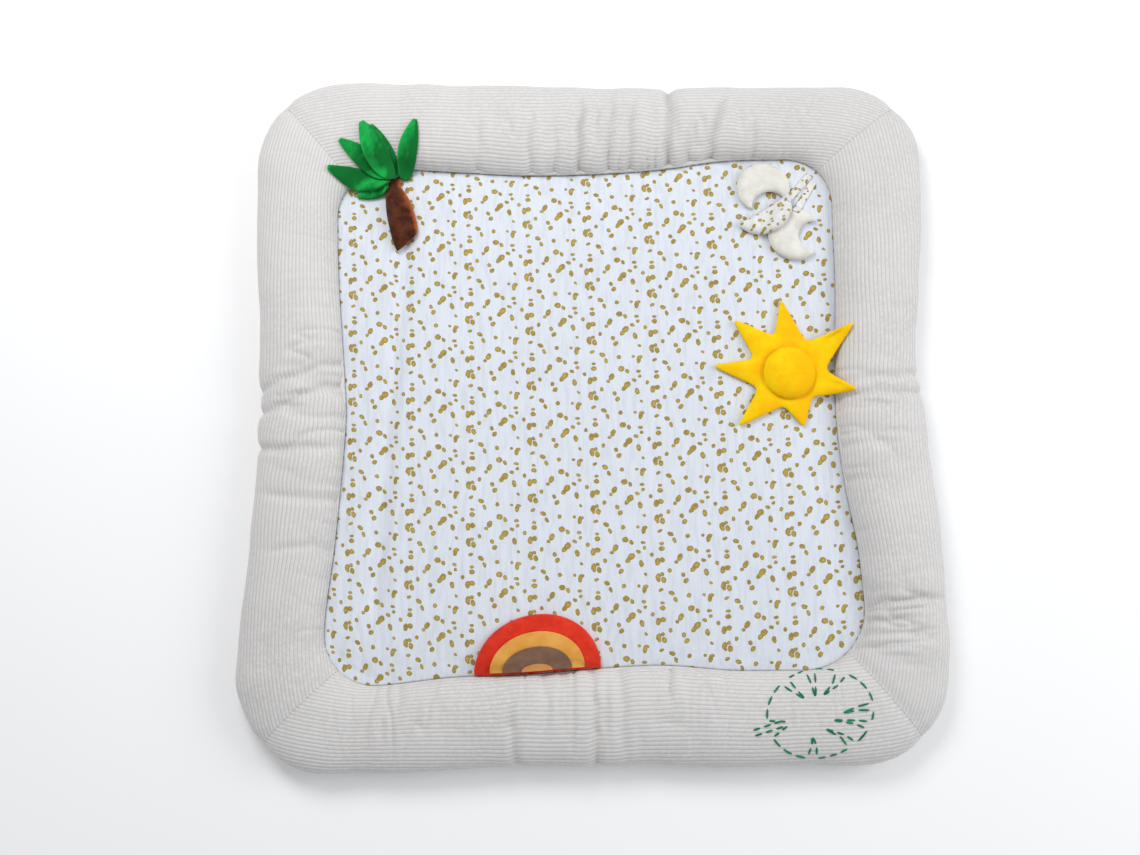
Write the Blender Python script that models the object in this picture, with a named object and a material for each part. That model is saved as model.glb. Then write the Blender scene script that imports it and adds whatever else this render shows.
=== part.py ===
"""Baby play mat: a padded muslin panel inside a puffy corduroy border, with soft toys sewn on.

Metres, +Z up. +X is the mat's right, +Y its back, and the floor is z = 0.
Every plan size below is measured from the middle of the mat.
"""
import math

import bmesh
import bpy
import numpy as np
from mathutils import Vector
from mathutils.bvhtree import BVHTree

# Air left between two pieces that touch on the real mat
GAP = 0.0003
SEAT_GAP = 0.0006
SEAT_STEP = 0.0010
WALL_CLEARANCE = 0.0001
MITRE_CLEARANCE = 0.00024

# Border: one stuffed corduroy strip for each side, mitred at the corners
BORDER_HEIGHT = 0.062
CORNER_DROP = 0.006
SEAM_HEIGHT = 0.026
REACH_HEIGHT = 0.028
CREST_SHARE = 0.45
CONTACT_SHARE = 0.84
RIB_DEPTH = 0.0012
MITRE_DIP = 0.004
MITRE_WIDTH = 0.012
MITRE_REACH = 40
SIDE_RIBS = 27
RIBBED_SHARE = 0.88
SMALL_FOLD = 0.0045
CLOSEST_STATIONS = 0.008
PROFILE_SAMPLES = 90
STATION_SPACING = 0.095
END_STATIONS = (0.962, 0.9, 0.8)

# Panel: one padded muslin square inside the seam
PANEL_EDGE = 0.024
PANEL_CROWN = 0.012
CROWN_POWER = 7
TROUGH_DEPTH = 0.0045
TROUGH_WIDTH = 0.016
TROUGH_END = 0.29
TROUGH_TOP_X = -0.279
TROUGH_LEAN = 0.055
PANEL_RINGS = (1.0, 0.97, 0.92, 0.85, 0.79, 0.74, 0.68, 0.55, 0.3)

# Toys
RIM = 0.0016
FELT = 0.0015
PLUSH_SUN = 0.013
SUN_DOME = 0.012
RAINBOW_PUFF = 0.019
TRUNK_PUFF = 0.018
LEAF_PUFF = 0.009
MOON_PUFF = 0.014
STRAP_WIDTH = 0.010

# The seam and the outer edge of the front and back strips: distances from the middle
FRONT_BACK_ROWS = (
    # x, front seam, front edge, back seam, back edge
    (-0.30, 0.392, 0.513, 0.375, 0.511),
    (-0.20, 0.381, 0.509, 0.370, 0.509),
    (-0.10, 0.377, 0.503, 0.365, 0.507),
    (0.00, 0.369, 0.503, 0.367, 0.504),
    (0.10, 0.364, 0.501, 0.374, 0.503),
    (0.20, 0.371, 0.504, 0.388, 0.504),
    (0.30, 0.371, 0.502, 0.391, 0.504),
)
# The same for the left and right strips
LEFT_RIGHT_ROWS = (
    # y, left seam, left edge, right seam, right edge
    (-0.30, 0.381, 0.502, 0.390, 0.506),
    (-0.20, 0.371, 0.494, 0.383, 0.501),
    (-0.10, 0.364, 0.487, 0.366, 0.495),
    (0.00, 0.360, 0.489, 0.357, 0.485),
    (0.10, 0.368, 0.489, 0.359, 0.479),
    (0.20, 0.377, 0.496, 0.362, 0.485),
    (0.30, 0.382, 0.502, 0.361, 0.492),
)
# Where the two sides would meet without their rounding, and the radius that rounds them
CORNERS = {
    # name: seam x, seam y, seam radius, edge x, edge y, edge radius
    "front_left": (-0.382, -0.394, 0.078, -0.503, -0.513, 0.140),
    "front_right": (0.391, -0.373, 0.095, 0.506, -0.504, 0.140),
    "back_right": (0.362, 0.393, 0.075, 0.493, 0.505, 0.118),
    "back_left": (-0.383, 0.374, 0.075, -0.503, 0.511, 0.128),
}
SIDES = (
    # name, quarter turns from the front, rows, seam column, edge column, first corner, last corner
    ("front", 0, FRONT_BACK_ROWS, 1, 2, "front_left", "front_right"),
    ("right", 1, LEFT_RIGHT_ROWS, 3, 4, "front_right", "back_right"),
    ("back", 2, FRONT_BACK_ROWS, 3, 4, "back_right", "back_left"),
    ("left", 3, LEFT_RIGHT_ROWS, 1, 2, "back_left", "front_left"),
)
# Creases pressed across the border: x on the front and back strips, y on the left and right ones
FOLDS = (
    # side, place, lean outward, width, depth, starts, ends (shares of the strip's width)
    ("back", -0.090, 0.000, 0.010, 0.004, -0.2, 0.4),
    ("back", -0.030, 0.004, 0.012, 0.004, -0.2, 0.6),
    ("back", 0.027, 0.006, 0.012, 0.004, 0.1, 0.8),
    ("back", 0.067, 0.008, 0.013, 0.005, 0.1, 0.8),
    ("back", 0.115, 0.012, 0.015, 0.009, -0.2, 1.3),
    ("back", 0.190, 0.030, 0.014, 0.007, -0.2, 0.75),
    ("back", 0.240, 0.000, 0.010, 0.004, -0.2, 0.35),
    ("left", 0.061, -0.010, 0.014, 0.008, 0.0, 1.3),
    ("left", 0.010, 0.016, 0.013, 0.005, 0.0, 0.9),
    ("left", -0.049, -0.006, 0.014, 0.008, 0.0, 1.3),
    ("left", -0.127, 0.000, 0.012, 0.004, -0.2, 0.5),
    ("right", 0.033, 0.014, 0.014, 0.007, 0.0, 1.3),
    ("right", -0.047, 0.000, 0.012, 0.004, -0.2, 0.6),
    ("right", -0.100, 0.006, 0.012, 0.004, -0.2, 0.5),
    ("right", -0.267, 0.012, 0.015, 0.007, 0.0, 1.0),
    ("right", -0.315, 0.000, 0.012, 0.004, -0.2, 0.5),
    ("front", -0.270, 0.000, 0.011, 0.004, -0.2, 0.4),
    ("front", -0.110, 0.010, 0.014, 0.006, 0.3, 1.3),
    ("front", 0.006, 0.004, 0.013, 0.007, 0.2, 1.3),
    ("front", 0.042, 0.006, 0.014, 0.005, -0.2, 0.9),
    ("front", 0.108, 0.000, 0.011, 0.004, -0.2, 0.45),
)

# Sun: seven plush rays round a domed disc
SUN_CENTRE = (0.283, 0.069)
DISC_CENTRE = (0.288, 0.0565)
DISC_RADIUS = 0.038
SUN_OUTLINE = (
    # direction in degrees, distance from the centre: tips and valleys in turn
    (92.4, 0.102),
    (48.1, 0.047),
    (31.4, 0.118),
    (-5.3, 0.058),
    (-21.9, 0.110),
    (-49.7, 0.060),
    (-74.6, 0.096),
    (-93.8, 0.060),
    (-128.1, 0.118),
    (-139.6, 0.052),
    (-179.6, 0.109),
    (-191.8, 0.046),
    (-222.3, 0.104),
    (-251.0, 0.046),
)
SUN_STEPS = 3
SUN_RINGS = (1.0, 0.88, 0.68, 0.42)
DISC_RINGS = (1.0, 0.85, 0.6, 0.3)
DISC_STEPS = 24

# Rainbow: a stuffed red half-round tucked in the front seam, with felt layers sewn on top
RAINBOW_X = -0.077
RAINBOW_OFFSET = 0.0012
RAINBOW_END = 0.07
RAINBOW_LAYERS = (
    # name, half width, height, thickness, columns, rows
    ("rainbow_red", 0.090, 0.082, RAINBOW_PUFF, 14, 5),
    ("rainbow_yellow", 0.067, 0.055, FELT, 12, 4),
    ("rainbow_taupe", 0.049, 0.034, FELT, 10, 3),
    ("rainbow_orange", 0.022, 0.010, FELT, 8, 2),
)

# Palm: the trunk's two edges, top to foot
TRUNK_ROWS = (
    # left x, left y, right x, right y
    (-0.309, 0.360, -0.288, 0.360),
    (-0.310, 0.342, -0.286, 0.344),
    (-0.309, 0.322, -0.276, 0.328),
    (-0.307, 0.302, -0.268, 0.310),
    (-0.302, 0.279, -0.262, 0.289),
    (-0.296, 0.257, -0.261, 0.270),
    (-0.290, 0.244, -0.277, 0.254),
)
LEAVES = (
    # name, base x, base y, tip x, tip y, width, sideways bow
    ("palm_leaf_1", -0.304, 0.343, -0.353, 0.331, 0.026, -0.002),
    ("palm_leaf_2", -0.302, 0.349, -0.394, 0.368, 0.032, 0.005),
    ("palm_leaf_3", -0.304, 0.354, -0.377, 0.410, 0.029, -0.001),
    ("palm_leaf_4", -0.293, 0.357, -0.331, 0.432, 0.030, 0.001),
    ("palm_leaf_5", -0.283, 0.356, -0.264, 0.440, 0.029, 0.001),
    ("palm_leaf_6", -0.299, 0.351, -0.345, 0.437, 0.035, 0.002),
)

# Moons: an outer circle with a round bite, and horns cut a little short
HORN_CUT = 0.05
MOONS = (
    # name, centre x, centre y, radius, bite x, bite y, bite radius
    ("moon_upper", 0.257, 0.342, 0.040, 0.266, 0.309, 0.027),
    ("moon_lower", 0.302, 0.270, 0.040, 0.330, 0.268, 0.022),
    ("moon_print", 0.252, 0.314, 0.046, 0.099, 0.561, 0.300),
)
STRAPS = (
    # name, seam end x, seam end y, moon end x, moon end y
    ("moon_strap_1", 0.3285, 0.3660, 0.2905, 0.3200),
    ("moon_strap_2", 0.3340, 0.3560, 0.3030, 0.3020),
)

COLOURS = {
    # material: red, green, blue (linear), roughness
    "corduroy": (0.66, 0.65, 0.64, 0.92),
    "muslin": (0.82, 0.82, 0.88, 0.9),
    "sun_yellow": (0.95, 0.55, 0.01, 0.85),
    "red_felt": (0.68, 0.035, 0.012, 0.9),
    "yellow_felt": (0.77, 0.37, 0.08, 0.9),
    "taupe_felt": (0.21, 0.115, 0.075, 0.9),
    "orange_felt": (0.58, 0.26, 0.08, 0.9),
    "green_velvet": (0.012, 0.33, 0.075, 0.8),
    "brown_plush": (0.095, 0.025, 0.01, 0.85),
    "cream_plush": (0.84, 0.83, 0.78, 0.9),
}

DOWN = Vector((0.0, 0.0, -1.0))
CAST_FROM = 0.3
solids_below = []
toy_edges = []


def new_collection(name):
    """An empty collection in the scene."""
    collection = bpy.data.collections.new(name)
    bpy.context.scene.collection.children.link(collection)
    return collection


def make_materials():
    """One plain material for each cloth."""
    made = {}
    for name, (red, green, blue, roughness) in COLOURS.items():
        material = bpy.data.materials.new(name)
        material.use_nodes = True
        shader = material.node_tree.nodes["Principled BSDF"]
        shader.inputs["Base Color"].default_value = (red, green, blue, 1.0)
        shader.inputs["Roughness"].default_value = roughness
        shader.inputs["Metallic"].default_value = 0.0
        made[name] = material
    return made


def add_object(name, mesh_data, material, collection):
    """Turn a closed bmesh into a named object, and keep it as something that toys can lie on."""
    bmesh.ops.recalc_face_normals(mesh_data, faces=mesh_data.faces)
    bmesh.ops.triangulate(mesh_data, faces=mesh_data.faces)
    solids_below.append(BVHTree.FromBMesh(mesh_data))
    mesh = bpy.data.meshes.new(name)
    mesh_data.to_mesh(mesh)
    mesh_data.free()
    mesh.materials.append(material)
    mesh.shade_smooth()
    mesh.set_sharp_from_angle(angle=math.radians(50.0))
    piece = bpy.data.objects.new(name, mesh)
    collection.objects.link(piece)
    return piece


def grid_of(columns, rows, place, fullness=lambda column, row: 0.0):
    """A grid mesh whose point (column, row) lies at place(column, row) and keeps its fullness."""
    mesh_data = bmesh.new()
    bmesh.ops.create_grid(mesh_data, x_segments=columns, y_segments=rows, size=1.0)
    layer = mesh_data.verts.layers.float.new("fullness")
    for point in mesh_data.verts:
        column = round((point.co.x + 1.0) / 2.0 * columns)
        row = round((point.co.y + 1.0) / 2.0 * rows)
        point.co = place(column, row)
        point[layer] = fullness(column, row)
    bmesh.ops.remove_doubles(mesh_data, verts=mesh_data.verts, dist=1e-6)
    return mesh_data


def smooth_through(points, x):
    """The value at x of a smooth curve through (x, value) points in rising x."""
    xs, values = np.array(points).T
    slopes = np.gradient(values, xs)
    first = int(np.clip(np.searchsorted(xs, x) - 1, 0, len(xs) - 2))
    span = xs[first + 1] - xs[first]
    t = (x - xs[first]) / span
    start = (1 + 2 * t) * (1 - t) ** 2 * values[first] + t * (1 - t) ** 2 * span * slopes[first]
    end = t * t * (3 - 2 * t) * values[first + 1] - t * t * (1 - t) * span * slopes[first + 1]
    return start + end


def bump(distance, width):
    """A smooth hump of height 1 at no distance."""
    return math.exp(-((distance / width) ** 2))


def window(value, start, end, blend=0.12):
    """1 between start and end, easing to 0 outside."""
    rise = np.clip((value - start) / blend + 0.5, 0.0, 1.0)
    fall = np.clip((end - value) / blend + 0.5, 0.0, 1.0)
    return float(rise * rise * (3 - 2 * rise) * fall * fall * (3 - 2 * fall))


def to_world(turns, along, outward, height):
    """A point of a side's own frame, turned to its side of the mat."""
    c = round(math.cos(turns * math.pi / 2))
    s = round(math.sin(turns * math.pi / 2))
    return Vector((c * along + s * outward, s * along - c * outward, height))


def to_side(turns, x, y):
    """Along and outward distances of a plan point, in a side's own frame."""
    c = round(math.cos(turns * math.pi / 2))
    s = round(math.sin(turns * math.pi / 2))
    return c * x + s * y, s * x - c * y


def side_line(side, kind):
    """Knots of one side's seam or edge, and the rounding at its two ends."""
    _, turns, rows, seam_column, edge_column, first, last = side
    column = seam_column if kind == "seam" else edge_column
    pick = 0 if kind == "seam" else 3
    ends = []
    for corner, sign in ((first, -1.0), (last, 1.0)):
        x, y, radius = CORNERS[corner][pick:pick + 3]
        along, outward = to_side(turns, x, y)
        ends.append((along, outward, radius, sign))
    direction = 1.0 if turns < 2 else -1.0
    knots = sorted((direction * row[0], row[column]) for row in rows)
    shares = 1.0 - math.sqrt(0.5)
    starts = (ends[0][0] + shares * ends[0][2], ends[0][1])
    stops = (ends[1][0] - shares * ends[1][2], ends[1][1])
    return [starts] + knots + [stops], ends


def line_point(line, u):
    """Along and outward distances on a seam or edge, for u from -1 at one mitre to 1 at the other."""
    knots, ends = line
    along = knots[0][0] + (u + 1.0) / 2.0 * (knots[-1][0] - knots[0][0])
    outward = smooth_through(knots, along)
    for corner_along, _, radius, sign in ends:
        over = sign * (along - corner_along) + radius
        if over > 0.0:
            outward -= radius - math.sqrt(max(radius * radius - over * over, 0.0))
    return along, outward


def side_stations(side):
    """Values of u along a side: close together at the mitres and at each crease."""
    name, turns = side[0], side[1]
    knots, _ = side_line(side, "seam")
    edge_knots, _ = side_line(side, "edge")
    half = (knots[-1][0] - knots[0][0] + edge_knots[-1][0] - edge_knots[0][0]) / 4.0
    direction = 1.0 if turns < 2 else -1.0
    chosen = [-1.0, 1.0]
    chosen += list(END_STATIONS) + [-value for value in END_STATIONS]
    for fold_side, place, _, width, depth, _, _ in FOLDS:
        if fold_side != name:
            continue
        middle = direction * place / half
        steps = (-width, 0.0, width) if depth > SMALL_FOLD else (0.0,)
        chosen += [middle + step / half for step in steps]
    chosen = sorted(chosen)
    kept = [chosen[0]]
    for value in chosen[1:]:
        if (value - kept[-1]) * half > CLOSEST_STATIONS:
            kept.append(value)
    kept[-1] = 1.0
    filled = [kept[0]]
    for value in kept[1:]:
        pieces = max(1, math.ceil((value - filled[-1]) * half / STATION_SPACING))
        begin = filled[-1]
        filled += [begin + (value - begin) * (i + 1) / pieces for i in range(pieces)]
    return filled


def border_profile(width, height):
    """Samples of a strip's cover from the seam over the top and under to the floor."""
    samples = []
    for i in range(PROFILE_SAMPLES + 1):
        t = 3.0 * i / PROFILE_SAMPLES
        part = min(int(t), 2)
        turn = (t - part) * math.pi / 2
        if part == 0:
            share = CREST_SHARE * (1.0 - math.cos(turn))
            rise = SEAM_HEIGHT + (height - SEAM_HEIGHT) * math.sin(turn)
        elif part == 1:
            share = CREST_SHARE + (1.0 - CREST_SHARE) * math.sin(turn)
            rise = REACH_HEIGHT + (height - REACH_HEIGHT) * math.cos(turn)
        else:
            share = CONTACT_SHARE + (1.0 - CONTACT_SHARE) * math.cos(turn)
            rise = REACH_HEIGHT * (1.0 - math.sin(turn))
        samples.append((share * width, rise))
    return np.array(samples)


def fold_depth(name, direction, along, share):
    """How far the creases press the cover in at one place."""
    total = 0.0
    for side, place, lean, width, depth, starts, ends in FOLDS:
        if side == name:
            middle = direction * (place + lean * (share - 0.5))
            total += depth * bump(along - middle, width) * window(share, starts, ends)
    return total


def border_section(side, u, seam_line, edge_line):
    """One closed section of a strip, from the seam over the top and back under."""
    name, turns = side[0], side[1]
    direction = 1.0 if turns < 2 else -1.0
    seam_along, seam_out = line_point(seam_line, u)
    edge_along, edge_out = line_point(edge_line, u)
    seam_out += WALL_CLEARANCE
    pull = u * MITRE_CLEARANCE * abs(u) ** MITRE_REACH
    span = Vector((edge_along - seam_along, edge_out - seam_out))
    height = BORDER_HEIGHT - CORNER_DROP * abs(u) ** 3
    samples = border_profile(span.length, height)
    steps = np.linalg.norm(np.diff(samples, axis=0), axis=1)
    lengths = np.concatenate(([0.0], np.cumsum(steps)))
    to_mitre = (1.0 - abs(u)) * abs(edge_line[0][-1][0])
    dip = MITRE_DIP * bump(to_mitre, MITRE_WIDTH)
    points = []
    rows = 2 * SIDE_RIBS + 2
    for row in range(rows + 1):
        plain_rows = max(row - 2 * SIDE_RIBS, 0)
        at = lengths[-1] * (RIBBED_SHARE * min(row / (2 * SIDE_RIBS), 1.0)
                            + (1.0 - RIBBED_SHARE) * plain_rows / 2)
        reach = float(np.interp(at, lengths, samples[:, 0]))
        rise = float(np.interp(at, lengths, samples[:, 1]))
        ahead = float(np.interp(at + 0.001, lengths, samples[:, 0]))
        behind = float(np.interp(at - 0.001, lengths, samples[:, 0]))
        higher = float(np.interp(at + 0.001, lengths, samples[:, 1]))
        lower = float(np.interp(at - 0.001, lengths, samples[:, 1]))
        normal = Vector((lower - higher, ahead - behind)).normalized()
        share = reach / span.length
        along = seam_along + span.x * share
        inset = RIB_DEPTH * (row % 2) * (plain_rows == 0)
        inset += fold_depth(name, direction, along, share) + dip * window(share, 0.05, 1.3)
        if row in (0, rows):
            inset = 0.0
        reach -= inset * normal.x
        rise -= inset * normal.y
        share = reach / span.length
        place = (seam_along + span.x * share - pull, seam_out + span.y * share, max(rise, 0.0))
        points.append(to_world(turns, *place))
    points.append(to_world(turns, seam_along - pull, seam_out, 0.0))
    return points


def make_border(side, material, collection):
    """One stuffed corduroy strip."""
    seam_line = side_line(side, "seam")
    edge_line = side_line(side, "edge")
    stations = side_stations(side)
    sections = [border_section(side, u, seam_line, edge_line) for u in stations]
    ring = len(sections[0])

    def place(column, row):
        return sections[column][row % ring]

    strip = grid_of(len(stations) - 1, ring, place)
    bmesh.ops.holes_fill(strip, edges=[edge for edge in strip.edges if edge.is_boundary], sides=0)
    add_object("border_" + side[0], strip, material, collection)


def trough(x, y):
    """The soft fold that runs down the panel near its left side."""
    middle = TROUGH_TOP_X + TROUGH_LEAN * (y - TROUGH_END)
    return TROUGH_DEPTH * bump(x - middle, TROUGH_WIDTH) * window(abs(y), -1.0, TROUGH_END, 0.1)


def make_panel(material, collection):
    """The padded muslin square, crowned and flat below."""
    outline = []
    for side in SIDES:
        line = side_line(side, "seam")
        for u in side_stations(side)[:-1]:
            along, outward = line_point(line, u)
            outline.append(to_world(side[1], along, outward - GAP, 0.0))
    count = len(outline)

    def place(column, row):
        ring = PANEL_RINGS[row - 1] if row > 0 else PANEL_RINGS[0]
        point = outline[column % count] * ring
        if row > 0:
            point.z = PANEL_EDGE + PANEL_CROWN * (1.0 - ring ** CROWN_POWER) - trough(point.x, point.y)
        return point

    pad = grid_of(count, len(PANEL_RINGS), place)
    bmesh.ops.holes_fill(pad, edges=[edge for edge in pad.edges if edge.is_boundary], sides=0)
    add_object("center_pad", pad, material, collection)


def height_below(x, y):
    """The top of the solids at a plan point."""
    highest = 0.0
    for tree in solids_below:
        hit = tree.ray_cast(Vector((x, y, CAST_FROM)), DOWN)[0]
        if hit is not None:
            highest = max(highest, hit.z)
    return highest


def support(x, y, reach):
    """The highest solid within reach of a plan point."""
    spots = [(x, y)]
    for step in range(8):
        turn = step * math.pi / 4
        for distance in (0.5 * reach, reach):
            spots.append((x + distance * math.cos(turn), y + distance * math.sin(turn)))
    return max(height_below(*spot) for spot in spots)


def points_along(edges):
    """Close points along a mesh's edges."""
    points = []
    for edge in edges:
        first, last = edge.verts[0].co, edge.verts[1].co
        steps = math.ceil((last - first).length / SEAT_STEP)
        points += [first.lerp(last, step / steps) for step in range(steps + 1)]
    return points


def settle(sheet):
    """Move a piece's underside up or down until it all but touches what is below it."""
    tree = BVHTree.FromBMesh(sheet)
    xs = [point.co.x for point in sheet.verts]
    ys = [point.co.y for point in sheet.verts]
    clearance = CAST_FROM
    for x in np.arange(min(xs), max(xs), SEAT_STEP):
        for y in np.arange(min(ys), max(ys), SEAT_STEP):
            hit = tree.ray_cast(Vector((x, y, CAST_FROM)), DOWN)[0]
            if hit is not None:
                clearance = min(clearance, hit.z - height_below(x, y))
    for point in toy_edges:
        hit = tree.ray_cast(Vector((point.x, point.y, CAST_FROM)), DOWN)[0]
        if hit is not None:
            clearance = min(clearance, hit.z - point.z)
    for point in sheet.verts:
        point.co.z += SEAT_GAP - clearance


def make_soft(name, columns, rows, plan, puff, material, collection, reach, rim=RIM, lift=0.25):
    """A soft flat piece that lies on what is below it.

    plan(column, row) gives a plan point and its fullness, from 0 at the rim to 1.
    """
    piece = grid_of(columns, rows, lambda column, row: Vector((*plan(column, row)[:2], 0.0)),
                    lambda column, row: plan(column, row)[2])
    fullness = piece.verts.layers.float["fullness"]
    for point in piece.verts:
        seat = support(point.co.x, point.co.y, reach) + GAP
        point.co.z = seat + lift * puff * (1.0 - point[fullness])
    bmesh.ops.triangulate(piece, faces=piece.faces)
    settle(piece)
    extruded = bmesh.ops.extrude_face_region(piece, geom=list(piece.faces), use_keep_orig=True)
    for item in extruded["geom"]:
        if isinstance(item, bmesh.types.BMVert):
            item.co.z += rim + (puff - rim) * item[fullness]
    toy_edges.extend(points_along(piece.edges))
    add_object(name, piece, material, collection)


def round_full(share):
    """Fullness across a stuffed piece, for share from -1 at one rim to 1 at the other."""
    return math.sqrt(max(1.0 - share * share, 0.0))


def make_sun(materials, collection):
    """Seven rays round a domed disc."""
    tips = [(math.radians(angle), distance) for angle, distance in SUN_OUTLINE]
    outline = []
    for i, (angle, distance) in enumerate(tips):
        begin = Vector((math.cos(angle), math.sin(angle))) * distance
        next_angle, next_distance = tips[(i + 1) % len(tips)]
        finish = Vector((math.cos(next_angle), math.sin(next_angle))) * next_distance
        for step in range(SUN_STEPS):
            outline.append(begin.lerp(finish, step / SUN_STEPS))
    count = len(outline)

    def ray_plan(column, row):
        ring = SUN_RINGS[row] if row < len(SUN_RINGS) else 0.0
        point = outline[column % count] * ring
        full = round_full(ring) if ring < 1.0 else 0.0
        return SUN_CENTRE[0] + point.x, SUN_CENTRE[1] + point.y, full

    make_soft("sun_rays", count, len(SUN_RINGS), ray_plan, PLUSH_SUN,
              materials["sun_yellow"], collection, reach=0.006)

    def disc_plan(column, row):
        ring = DISC_RINGS[row] if row < len(DISC_RINGS) else 0.0
        angle = 2.0 * math.pi * column / DISC_STEPS
        x = DISC_CENTRE[0] + DISC_RADIUS * ring * math.cos(angle)
        y = DISC_CENTRE[1] + DISC_RADIUS * ring * math.sin(angle)
        return x, y, round_full(ring)

    make_soft("sun_disc", DISC_STEPS, len(DISC_RINGS), disc_plan, SUN_DOME,
              materials["sun_yellow"], collection, reach=0.004, lift=0.0)


def make_rainbow(materials, collection):
    """Half-rounds that stand on the front seam, each on the last."""
    front_seam = side_line(SIDES[0], "seam")[0]
    cloths = {
        "rainbow_red": "red_felt",
        "rainbow_yellow": "yellow_felt",
        "rainbow_taupe": "taupe_felt",
        "rainbow_orange": "orange_felt",
    }
    for name, half_width, height, thickness, columns, rows in RAINBOW_LAYERS:
        stuffed = thickness > FELT

        def plan(column, row):
            turn = math.pi * (RAINBOW_END + (1.0 - 2.0 * RAINBOW_END) * column / columns)
            x = RAINBOW_X - half_width * math.cos(turn)
            base = -smooth_through(front_seam, x) + RAINBOW_OFFSET
            up = row / rows
            y = base + height * math.sin(turn) * up
            across = round_full(2.0 * column / columns - 1.0)
            full = across * math.sqrt(max(1.0 - up ** 2.5, 0.0)) * min(1.0, 0.55 + 2.0 * up)
            if not stuffed:
                full = 1.0
            return x, y, full

        make_soft(name, columns, rows, plan, thickness, materials[cloths[name]], collection,
                  reach=0.007 if stuffed else 0.004, rim=RIM if stuffed else FELT, lift=0.1)


def make_palm(materials, collection):
    """The trunk, then the leaves from the lowest to the one on top."""
    trunk_rows = len(TRUNK_ROWS) - 1
    across = 4

    def trunk_plan(column, row):
        left_x, left_y, right_x, right_y = TRUNK_ROWS[row]
        share = column / across
        x = left_x + (right_x - left_x) * share
        y = left_y + (right_y - left_y) * share
        ends = min(1.0, 3.0 * row / trunk_rows, 2.5 * (1.0 - row / trunk_rows))
        return x, y, round_full(2.0 * share - 1.0) * max(ends, 0.0) ** 0.5

    make_soft("palm_trunk", across, trunk_rows, trunk_plan, TRUNK_PUFF,
              materials["brown_plush"], collection, reach=0.006)

    length_steps = 7
    for name, base_x, base_y, tip_x, tip_y, width, bow in LEAVES:
        base = Vector((base_x, base_y))
        reach = Vector((tip_x, tip_y)) - base
        sideways = Vector((-reach.y, reach.x)).normalized()

        def leaf_plan(column, row):
            share = row / length_steps
            side = 2.0 * column / across - 1.0
            spread = 0.07 + 0.93 * math.sin(math.pi * (0.06 + 0.9 * share) ** 0.9) ** 0.8
            offset = bow * math.sin(math.pi * share) + 0.5 * width * side * spread
            point = base + reach * share + sideways * offset
            ends = min(1.0, 3.0 * share + 0.15, 3.0 * (1.0 - share))
            return point.x, point.y, round_full(side) * max(ends, 0.0) ** 0.5

        make_soft(name, across, length_steps, leaf_plan, LEAF_PUFF,
                  materials["green_velvet"], collection, reach=0.006)


def make_moons(materials, collection):
    """Three stuffed crescents, the printed one over the other two."""
    length_steps = 12
    across = 4
    for name, centre_x, centre_y, radius, bite_x, bite_y, bite_radius in MOONS:
        centre = Vector((centre_x, centre_y))
        bite = Vector((bite_x, bite_y))
        offset = (bite - centre).length
        toward = (bite - centre) / offset
        sideways = Vector((-toward.y, toward.x))
        common = radius ** 2 - bite_radius ** 2
        outer_start = math.acos((common + offset ** 2) / (2.0 * radius * offset))
        inner_start = math.acos((common - offset ** 2) / (2.0 * bite_radius * offset))

        def plan(column, row):
            share = HORN_CUT + (1.0 - 2.0 * HORN_CUT) * row / length_steps
            outer = outer_start + (2.0 * math.pi - 2.0 * outer_start) * share
            inner = inner_start + (2.0 * math.pi - 2.0 * inner_start) * share
            outside = centre + (toward * math.cos(outer) + sideways * math.sin(outer)) * radius
            inside = bite + (toward * math.cos(inner) + sideways * math.sin(inner)) * bite_radius
            point = outside.lerp(inside, column / across)
            ends = min(1.0, 4.0 * row / length_steps, 4.0 * (1.0 - row / length_steps))
            full = round_full(2.0 * column / across - 1.0) * max(ends, 0.0) ** 0.5
            return point.x, point.y, full

        cloth = "muslin" if name == "moon_print" else "cream_plush"
        make_soft(name, across, length_steps, plan, MOON_PUFF, materials[cloth], collection,
                  reach=0.006)


def make_straps(materials, collection):
    """Two narrow ribbons from the seam's corner to the moons."""
    length_steps = 8
    for name, start_x, start_y, end_x, end_y in STRAPS:
        start = Vector((start_x, start_y))
        reach = Vector((end_x, end_y)) - start
        sideways = Vector((-reach.y, reach.x)).normalized()

        def plan(column, row):
            point = start + reach * (row / length_steps) + sideways * STRAP_WIDTH * (column - 0.5)
            return point.x, point.y, 1.0

        make_soft(name, 1, length_steps, plan, FELT, materials["muslin"], collection,
                  reach=0.004, rim=FELT)


def main():
    for item in list(bpy.data.objects):
        bpy.data.objects.remove(item, do_unlink=True)
    collection = new_collection("baby_play_mat")
    materials = make_materials()
    for side in SIDES:
        make_border(side, materials["corduroy"], collection)
    make_panel(materials["muslin"], collection)
    make_sun(materials, collection)
    make_rainbow(materials, collection)
    make_palm(materials, collection)
    make_moons(materials, collection)
    make_straps(materials, collection)


main()
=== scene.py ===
"""Looks of the baby play mat: corduroy border, printed muslin panel and soft toys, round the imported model.

Metres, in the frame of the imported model: +X right, +Y back, +Z up, floor at z = 0.
"""
import math

import bmesh
import bpy
import numpy as np
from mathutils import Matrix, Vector
from mathutils.bvhtree import BVHTree


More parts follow.
